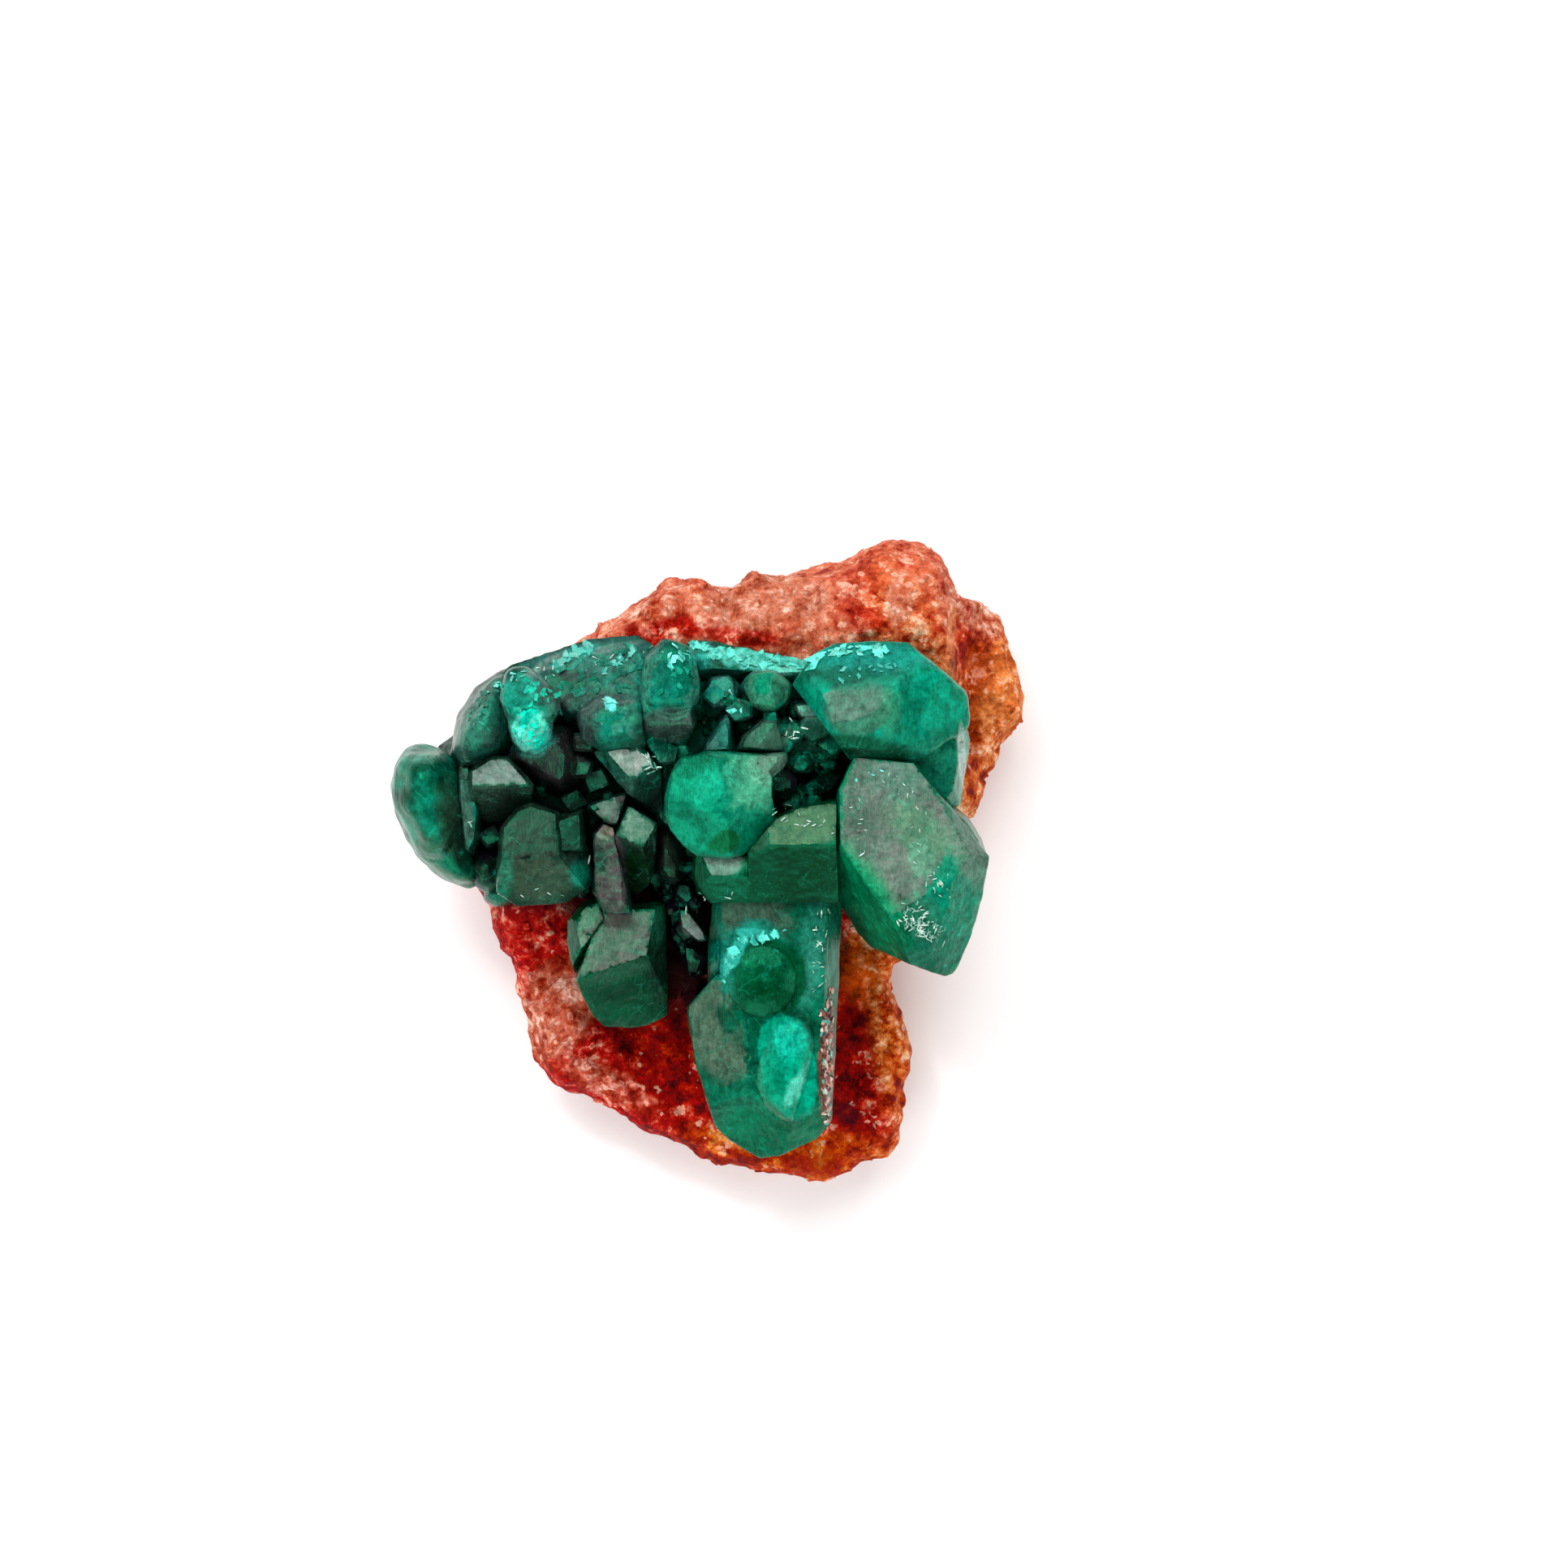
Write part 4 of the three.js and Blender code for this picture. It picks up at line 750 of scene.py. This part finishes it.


# ---- The blocks beside the left end ----
# Smoky grey-green blocks of dioptase with crisp edges. Their flat tops lean to the far side, and
# their grey is painted sheen of the light there.
left_blocks = crystal_piece("left_block_crystals", "left_block_grey_crystals", 6)
dioptase(left_blocks, "left_block_grey", tint(40, 70, 56), tint(14, 34, 26), [
    # Painted sheen on the tops that lean to the far side.
    ((-14.2, 2.4, 3, 2.6, 0.2, 0.2), (56, 52, 50), 0.93, 90, 12.4, 9),
    ((-11.4, 2.6, 1.4, 2.2, 0.2, 0.2), (28, 36, 36), 0.9, 64, 15.5, 9),
    ((-17.3, 6.9, 2.8, 1.7, 0.2, 0.2), (136, 142, 142), 0.94, 94, 24.3, 10),
    ((-14.2, -1.2, 3, 1.8, 0.3, 0.3), (70, 84, 68), 0.85, 270, 38, 12),
    ((-10.6, -0.9, 0.8, 1.1, 0.4, 0.5), (20, 150, 120), 0.75),
    ((-16.7, -1, 0.8, 1.5, 0.4, 0.6), (50, 140, 112), 0.7),
    ((-17.2, 4.6, 2.4, 1.2, 0.3, 0.2), (30, 44, 34), 0.85),
    # Painted shade: black in the gap beside the left end.
    ((-18.3, 1.7, 1.1, 1.5, 0.3, 0.2), SHADE_BLACK, 0.95),
    ((-17.6, -2.6, 1.1, 0.9, 0.3, 0.3), (40, 132, 104), 0.7),
], clear=0.2, gloss=0.09)


# ---- The pair on the near left ----
# Two blocks of dioptase side by side on the rock's slope: far tops painted grey as sheen, and
# near faces that look into clear, dark green.
lower_left = crystal_piece("lower_left_crystals", "near_left_crystals", 6)
dioptase(lower_left, "near_left_grey", tint(0, 76, 42), tint(0, 52, 24), [
    # Painted sheen on the far tops.
    ((-7.2, -6.4, 3.8, 3.2, 0.2, 0.2), (120, 112, 110), 0.95, 90, 13.5, 9),
    ((-10.2, -6, 1.6, 3.2, 0.2, 0.2), (114, 112, 106), 0.92, 112, 15, 8),
    ((-7.6, -9, 3.2, 0.7, 0.4, 0.4, 14), (60, 104, 84), 0.5, 288.7, 41, 10),
    ((-6.8, -10.2, 2.8, 0.9, 0.6, 0.4, 8), (0, 40, 26), 0.6),
    # Painted shade: black on the steep right face.
    ((-4.2, -8.6, 0.8, 3.8, 0.4, 0.2, 4), SHADE_BLACK, 0.6),
    ((-7, -12.4, 2.8, 0.9, 0.4, 0.4), (0, 92, 56), 0.6),
    ((-4.3, -5.2, 0.6, 1.6, 0.4, 0.4), (40, 130, 100), 0.6),
])


# ---- The blocks below the middle ----
# Blocks of dioptase over the long prism. The largest is shaped like a roof: its near face is
# deep, clear green, its far face painted grey as sheen. One on its left has a top painted pale as
# sheen.
middle_block = crystal_piece(
    "middle_block_crystal", "middle_block_dark_crystal", 6)
dioptase(middle_block, "middle_block_green", tint(0, 80, 46), tint(0, 60, 30), [
    # Painted sheen on the far face.
    ((7.2, 3.4, 4.4, 2.2, 0.2, 0.3, 8), (98, 112, 84), 0.92, 90, 24, 10),
    ((4.6, 2.2, 1.6, 1.6, 0.3, 0.4), (60, 110, 84), 0.8, 150, 40, 12),
    ((6.8, -0.8, 4.2, 2.6, 0.2, 0.2), (0, 44, 4), 0.96, 269, 36, 12),
    ((4.6, -0.6, 0.9, 2, 0.5, 0.4), (0, 84, 52), 0.5),
    # Painted sheen on the block at its left.
    ((0.8, 0.1, 1.9, 1.1, 0.2, 0.2), (160, 188, 176), 0.94, 95, 12.5, 9),
    ((1.2, -2.1, 2.2, 1.2, 0.3, 0.3), (0, 72, 46), 0.85),
])


# ---- The band of small crystals ----
# Everything between the large crystals grew together: a dull ridge along the far side, bright
# turquoise-green crystals, smoky blocks and columns, and hollows between them painted black as
# shade.
band = crystal_piece(
    "band_crystals", "band_of_crystals", 7, rounded=[
        (-18.8, 11.8, 2.8, 4, 14), (-14.6, 13.6, 2.4, 2.4, 17), (-14.6, 10.8, 1.8, 1.8, 17),
        (-3.1, 15.2, 2.6, 3.2, 17), (4.6, 14.1, 2.1, 1.8, 18), (-9.8, 15.4, 5.5, 3.6, 18),
    ], soften=9, lumps=0.8, rough=0.16)
pressed(band, 4.6, 14.1, 2.3, 2, 21.4, 0.5)
pressed(band, -14.6, 13.6, 2.6, 2.6, 21.2, 0.4)
pressed(band, -14.6, 10.8, 1.9, 1.9, 21.2, 0.5)
pressed(band, -3.1, 15.2, 2.8, 3.2, 22, 0.45)
MINT_GLOW = (-14.6, 10.8, 1.7, 1.9, 0.3, 0.5), paint(8, 212, 184, 0.95), 0.6
dioptase(band, "band_green", tint(24, 112, 92), tint(8, 70, 56), [
    ((-8, 1, 9, 6.5, 0.4, 0.3), (34, 48, 42), 0.85),
    ((-18.8, 11.8, 3, 4.2, 0.2, 0.2, -30), (42, 116, 98), 0.8),
    ((-20.4, 12.4, 0.9, 3, 0.3, 0.5, -34), (90, 120, 112), 0.7),
    ((-14.6, 13.7, 2.3, 2.2, 0.1, 0.3), paint(28, 176, 148), 0.96),
    ((-14.6, 10.8, 1.5, 1.7, 0.15, 0.5), paint(20, 238, 208, 1), 0.97),
    ((-9.5, 15.8, 6, 3, 0.3, 0.4, 6), (66, 110, 112), 0.85),
    ((-7, 14.8, 3, 1.4, 0.4, 0.5, 10), (88, 144, 130), 0.65),
    ((-12, 14.4, 2.4, 1.5, 0.4, 0.5, 30), (74, 80, 78), 0.8),
    ((-9.4, 13.2, 2.6, 1.2, 0.4, 0.5), (70, 74, 74), 0.7),
    ((-13.2, 16.4, 2.2, 0.4, 0.4, 0.6, 32), (150, 176, 166), 0.6),
    ((-8.4, 17.6, 3, 0.3, 0.4, 0.6, 12), (140, 176, 166), 0.6),
    ((-10.6, 17.4, 1.3, 0.5, 0.3, 0.5, 14), (10, 180, 176), 0.85),
    ((-0.7, 17.1, 1, 1.4, 0.3, 0.7), (50, 196, 176), 0.8),
    ((4.8, 16.6, 4.4, 1, 0.2, 0.4, -6), paint(102, 234, 210, 1), 0.92),
    ((-3.4, 14.8, 2.8, 2.9, 0.4, 0.3), (8, 142, 118), 0.85),
    ((-8.1, 13, 0.4, 0.7, 0.2, 0.3, 30), paint(110, 245, 235, 1.2), 0.95),
    ((-7.6, 11, 2, 1.5, 0.4, 0.4), (6, 136, 112), 0.8),
    ((-10.2, 11.2, 1.2, 1.6, 0.4, 0.4), (60, 74, 74), 0.8),
    ((-3.2, 11.4, 2.1, 1.4, 0.2, 0.2), (70, 90, 84), 0.85),
    ((-13.2, 8.4, 3.2, 2.9, 0.2, 0.4), (62, 54, 58), 0.9),
    ((-11, 8, 1.3, 2.2, 0.3, 0.3), (8, 20, 20), 0.9, 330, 50, 14),
    # Painted sheen: grey and near-white on flat faces that lean to the far side.
    ((-6.6, 8.1, 2.2, 1.6, 0.1, 0.1, -10), (178, 168, 172), 0.95, 90, 19.8, 9),
    ((-8.4, 4.6, 1.6, 1.4, 0.1, 0.1), (112, 100, 104), 0.9, 71.6, 17.5, 9),
    ((0.8, 10.8, 1.2, 2.1, 0.2, 0.3), (54, 158, 138), 0.85),
    ((4.2, 10.6, 2.2, 1.5, 0.2, 0.3), (76, 118, 100), 0.85),
    ((4.6, 14.1, 2.1, 1.6, 0.1, 0.1), (0, 144, 106), 0.92),
    ((1.2, 14.4, 1.8, 1.4, 0.3, 0.4), (16, 140, 124), 0.8),
    ((8, 12.6, 1.8, 0.9, 0.2, 0.3), (96, 160, 140), 0.85),
    ((8.4, 9.6, 2.4, 2, 0.3, 0.5), (16, 98, 76), 0.75),
    ((5.8, 6.5, 1.5, 1.4, 0.1, 0.2), (14, 26, 22), 0.95),
    # Painted shade: black in the hollow beside the knob.
    ((8.2, 6.6, 2.2, 1.2, 0.4, 0.4), SHADE_BLACK, 0.85),
    # Painted glint: a small orange spot.
    ((8.6, 6.1, 0.5, 0.3, 0.3, 0.4, -30), (190, 90, 20), 0.9),
    ((-8.1, -0.5, 1.35, 3.9, 0.12, 0.2, 8), (94, 80, 84), 0.92),
    ((-8.4, 2.6, 0.8, 0.6, 0.2, 0.3, 30), (170, 160, 140), 0.8),
    ((-8.9, 0.4, 0.5, 1.2, 0.4, 0.6, 10), (20, 22, 34), 0.8),
    # Painted sheen on a face that leans to the far side.
    ((-5.9, 3.1, 1.5, 1.5, 0.1, 0.2, 30), (122, 138, 128), 0.92, 90, 18.8, 9),
    ((-5.8, -0.4, 1.1, 2.2, 0.25, 0.3), (4, 50, 18), 0.92),
    ((-3.3, 0.6, 1.2, 2, 0.3, 0.5, 20), (54, 62, 52), 0.8),
    ((-1.4, -5.2, 0.9, 1.2, 0.2, 0.2, 30), (120, 134, 130), 0.9),
    ((-1.3, -8.1, 0.6, 0.9, 0.2, 0.2), (70, 96, 88), 0.9),
    ((-20, 5, 0.6, 4, 0.3, 0.4, 4), (84, 108, 100), 0.7),
# Painted shade: black low down in the hollows; the lit zones go on over it.
], streak=1.05, hollow=(14.9, 18), patchy=0.34, lit=[
    ((1, 10.8, 1.7, 2.3, 0.2, 0.3, -14), (62, 160, 142), 0.85),
    ((4.2, 10.4, 2.2, 1.5, 0.2, 0.3), (70, 112, 94), 0.85),
    ((-12.4, 8.2, 2.9, 2.6, 0.2, 0.3), (50, 46, 48), 0.75),
    ((-11.2, 7, 1, 1.8, 0.3, 0.4, 30), (20, 18, 22), 0.7),
    # Painted sheen again, over the shade.
    ((-8.4, 4.6, 1.6, 1.4, 0.1, 0.1), (104, 96, 100), 0.8, 71.6, 17.5, 9),
    ((-3, 0.8, 1.1, 2.2, 0.3, 0.5, 20), (44, 48, 42), 0.7),
    ((-1.4, -5.2, 0.9, 1.3, 0.2, 0.2, 30), (128, 132, 132), 0.9),
    MINT_GLOW,
])


# ---- The druse ----
# Small six-sided crystals line the hollows between the large ones. Each has a slanted tip, and
# they are the same green, with painted black shade where they stand deep.
def crystal_model():
    """A short crystal, one unit wide and one long, with a blunt, slanted tip."""
    bpy.ops.mesh.primitive_cylinder_add(vertices=6, radius=0.5, depth=1, location=(3, 1, 9))
    with editing():
        bpy.ops.mesh.select_all(action="DESELECT")
    model = bpy.context.object
    for face in model.data.polygons:
        face.select = face.normal.z > 0.9
    with editing():
        bpy.ops.mesh.extrude_region_move(TRANSFORM_OT_translate={"value": (0.06, 0.1, 0.3)})
        bpy.ops.transform.resize(value=(0.5, 0.3, 1))
        # Extruded faces come in any order, so they are sorted by their distance.
        bpy.ops.mesh.select_all(action="SELECT")
        bpy.ops.mesh.sort_elements(type="CURSOR_DISTANCE", elements={"FACE"})
    return model


def top_of(skin, x, y):
    """Where a plumb line at x, y in millimetres meets a skin, and how the face there leans."""
    above_all = Vector((x * MM, y * MM, 40 * MM))
    return skin.ray_cast(above_all, Vector((0, 0, -1)))[:2]


def druse_spots(hollows):
    """Crystals in the hollows. A hollow is (x, y, radius x, radius y, highest, how many, size)."""
    spots = []
    for x, y, rx, ry, highest, count, size in hollows:
        for _ in range(count):
            turn, out = chance.uniform(0, math.tau), math.sqrt(chance.random())
            spot, normal = top_of(
                walls, x + rx * out * math.cos(turn), y + ry * out * math.sin(turn))
            if spot is not None and spot.z < highest * MM:
                sway = Vector([chance.uniform(-0.6, 0.6) for _ in range(3)])
                up = (normal + Vector((0, 0, 0.8)) + sway).normalized()
                wide, long = size * chance.uniform(0.6, 1.25) * MM, chance.uniform(0.9, 1.7)
                spots.append((spot, up, wide, long))
    return spots


druse = strewn("druse_crystals", crystal_model(), druse_spots([
    (8.4, 8.6, 3, 4.2, 20.6, 48, 1.4), (4.2, 12.4, 3.6, 2, 21.5, 20, 1.1),
    (-0.6, 12.8, 1.4, 2.2, 21, 10, 1), (-9.4, 7, 2.6, 3.2, 17.5, 7, 0.9),
    (-3.4, 6.4, 1.2, 3.2, 17, 6, 0.9), (-2.9, -2, 1.3, 3.2, 16, 12, 1),
    (-2.4, -7.4, 1, 2.6, 13.5, 8, 0.8), (-17.8, 2.4, 1.6, 1.6, 15, 6, 0.9),
    (-13.4, 6, 2.4, 1, 16, 6, 1), (-4.6, 9.6, 1.6, 0.9, 19, 8, 0.9),
]))
dioptase(druse, "druse_green", tint(8, 92, 70), tint(2, 34, 24), [
    ((8.8, 11.2, 2.4, 1.8, 0.3, 0.5), (50, 136, 110), 0.6),
    # Painted shade: near-black and black where the druse stands in the dark hollows.
    ((8.2, 6.6, 2.6, 1.6, 0.4, 0.4), (4, 14, 10), 0.85),
    ((-8, 3, 8, 7, 0.3, 0.3), SHADE_BLACK, 0.93),
    ((-2.4, -6, 2.4, 6, 0.3, 0.3), SHADE_BLACK, 0.9),
], clear=0.2, shine=0.04, hollow=(12.5, 16.5))
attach(druse, "root")


# ---- The turquoise crust ----
# Thin flakes of a turquoise copper mineral: thick on the far side of the band, and in thin lines
# round the prism's round crystal and along its edge. They lie flat on the faces that they coat.
def flake_model(sides):
    """A thin plate with a chipped outline, one unit across."""
    bpy.ops.mesh.primitive_cylinder_add(vertices=sides, radius=0.5, depth=0.08)
    model = bpy.context.object
    for vertex in model.data.vertices:
        chipped = (1.0, 0.62, 0.85, 0.5, 1.1)[vertex.index // 2 % 5]
        vertex.co.x, vertex.co.y = vertex.co.x * chipped * 1.4, vertex.co.y * chipped * 0.8
    with editing():
        bpy.ops.mesh.select_all(action="SELECT")
        bpy.ops.mesh.bevel(offset=0.03, segments=1, affect="EDGES")
    return model


coats = skins_of([
    long_prism, grey_crystal, upper_right, centre, left_end, left_blocks, lower_left,
    middle_block, band,
])


def laid(trails, lift=0.1):
    """Flakes on the finished crystals. A trail is (from x, y, to x, y, width, how many, size)."""
    spots = []
    for x1, y1, x2, y2, width, count, size in trails:
        for step in range(count):
            along = (step + chance.random()) / count
            x = x1 + (x2 - x1) * along + chance.uniform(-0.5, 0.5) * width
            y = y1 + (y2 - y1) * along + chance.uniform(-0.5, 0.5) * width
            spot, normal = top_of(coats, x, y)[0], top_of(walls, x, y)[1]
            if spot is not None and normal is not None and normal.z > 0.3:
                sway = Vector([chance.uniform(-0.2, 0.2) for _ in range(3)])
                up = (normal + sway).normalized()
                wide = size * chance.uniform(0.5, 1.5) * MM
                spots.append((spot + normal * lift * MM, up, wide, 0.8))
    return spots


crust = strewn("turquoise_flakes", flake_model(7), laid([
    (-12.8, 16.4, -9.6, 17.8, 0.6, 16, 0.8), (-8.6, 15.8, -6.2, 17, 0.8, 14, 0.5),
    (-2.8, 16.4, 0.4, 17.8, 1.8, 34, 0.6), (0.2, 17, 8.9, 16.3, 1, 44, 0.9),
    (9.2, 17.2, 14.6, 17.5, 0.7, 22, 0.7), (10.4, 15.2, 15.6, 16, 1, 12, 0.42),
    (-18, 14, -15, 15.6, 0.6, 12, 0.5), (1.4, -9.4, 2.2, -6.8, 0.5, 12, 0.7),
    (2.4, -6.4, 6, -5.6, 0.5, 12, 0.6), (-8.4, 12.6, -7.8, 13.5, 0.2, 3, 0.7),
    (9.7, -14, 9.9, -16, 0.2, 3, 0.6), (11.4, 6.9, 14, 7.3, 0.9, 4, 0.3),
    (1.6, 14, 3.4, 10, 1.2, 8, 0.5),
]))
f = Finish("turquoise_crust", IOR=1.6, Transmission_Weight=0.1, Specular_IOR_Level=0.4)
f.ragged = f.cloud(0.8, 3, 0.7)
colour = f.blend(f.step(f.ragged, 0.38, 0.62), paint(26, 158, 140, 0.9), paint(88, 230, 208, 1.0))
colour = f.blend(f.step(f.cloud(0.25, 2, 0.7), 0.6, 0.75) * 0.5, colour, tint(200, 250, 240))
for oval, strength in [
    ((-9.6, 16.4, 6, 2.4, 0.3, 0.4, 8), 0.6), ((13.2, 15.5, 3.4, 1.1, 0.3, 0.4, 4), 0.8),
]:
    colour = f.blend(f.patch(*oval) * strength, colour, paint(24, 160, 142))
f.feed("Base Color", colour)
f.feed("Roughness", f.ragged * 0.4 + 0.05)
crust.data.materials.append(f.material)
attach(crust, "root")


# ---- The bright green scales ----
# Small scales of dioptase on the two bright crystals at the left and on the ridge beside them.
# They are almost opaque, and lie closer to the faces than the turquoise flakes.
mint = strewn("bright_green_scales", flake_model(6), laid([
    (-16.4, 13.6, -12.8, 13.4, 3, 26, 0.5), (-15.4, 10.9, -13.6, 10.6, 2.2, 34, 0.5),
    (-12.6, 15.2, -5.6, 16.2, 3.2, 60, 0.7), (-19.8, 11, -17.8, 14, 2.4, 22, 0.6),
    (-4.6, 14, -1.8, 15.6, 2.4, 18, 0.6), (-9.2, 11.4, -6.4, 11.8, 1.8, 10, 0.5),
], lift=0.03))
dioptase(mint, "bright_scale_green", tint(60, 136, 120), tint(24, 104, 88), [
    ((-14.6, 13.6, 2.6, 2.4, 0.2, 0.2), paint(28, 174, 146), 0.9),
    ((-14.6, 10.8, 2.2, 2, 0.3, 0.2), paint(10, 226, 194, 1), 0.95),
    ((-3.2, 14.8, 2.8, 2.6, 0.3, 0.3), (10, 138, 114), 0.9),
], clear=0.05, lit=[MINT_GLOW])
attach(mint, "root")


# ---- Broken chips ----
# Where a crystal broke, small splinters stay on it; their near-white is partly painted glint.
# Most are on the large grey crystal, and others lie along the edges of the prism, the ridge and the
# blocks.
bpy.ops.mesh.primitive_ico_sphere_add(subdivisions=1, radius=0.5)
splinter = bpy.context.object
with editing():
    bpy.ops.transform.resize(value=(2.0, 0.42, 0.4))
chips = strewn("pale_chips", splinter, laid([
    (15.8, -3.8, 18.4, -5.8, 1.8, 110, 0.24), (17.2, -0.8, 19.6, -2.6, 2, 20, 0.2),
    (-16, 15, -4, 17.8, 1.2, 26, 0.2), (17.4, 0.6, 16.8, 2.6, 1.2, 8, 0.24),
    (-5, 9, -4.6, 7.4, 0.9, 12, 0.36), (6.5, 10.5, 7.4, 11.2, 1.2, 10, 0.34),
    (9.2, -3.8, 8.9, -10.6, 1.2, 24, 0.24), (4.6, 4.2, 9.6, 3.2, 1.8, 22, 0.22),
    (-2.4, -3.4, 1.6, -2.2, 1.2, 7, 0.3), (11.9, 6, 12.4, 0.4, 1.2, 12, 0.22),
    (20.6, 10, 20.4, 6.4, 0.3, 8, 0.4), (-19.2, 4.6, -19, 0.6, 0.8, 8, 0.32),
    (-16.8, -2.2, -10.6, -2.6, 1, 6, 0.24), (14, 8, 17.4, 4.2, 1.4, 10, 0.2),
    (-9.9, 0.4, -9.6, -0.6, 0.4, 3, 0.34), (-2.2, -4.4, -1, -3.6, 1, 5, 0.34),
]))
f = Finish("pale_chips_green", IOR=1.66, Transmission_Weight=0.15, Specular_IOR_Level=0.6)
f.ragged = f.cloud(0.7, 3, 0.7)
# Painted glint: part of each splinter is near-white.
f.feed("Base Color", f.blend(
    f.step(f.ragged, 0.4, 0.62), paint(60, 160, 132), paint(214, 240, 228, 0.95)))
f.feed("Roughness", f.ragged * 0.3 + 0.02)
chips.data.materials.append(f.material)
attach(chips, "root")


# ---- The crust beside the long prism ----
# A narrow strip of pink, brown and white grains sticks to the prism's right edge, where the rock
# broke away from it. The grains are small bevelled blocks.
edge_grains = strewn("prism_edge_grains", block_model(0.2, 0.8, 1.5, 0.5), laid([
    (9.5, -12, 9.7, -21.8, 0.8, 170, 0.36), (9.8, -10.4, 9.7, -14, 0.5, 24, 0.3),
], lift=0.04))
f = Finish("prism_edge_crust", IOR=1.5, Specular_IOR_Level=0.3)
cells = f.node("TexVoronoi", {}, {"Vector": f.place, "Scale": 2.4}, "Color")
f.feed("Base Color", f.ramp(
    f.part(cells, 0), (0.1, 60, 26, 22), (0.4, 134, 70, 60), (0.62, 190, 130, 110),
    (0.8, 232, 208, 192), (0.92, 40, 170, 150)))
f.feed("Roughness", f.cloud(0.4) * 0.4 + 0.2)
edge_grains.data.materials.append(f.material)
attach(edge_grains, "root")
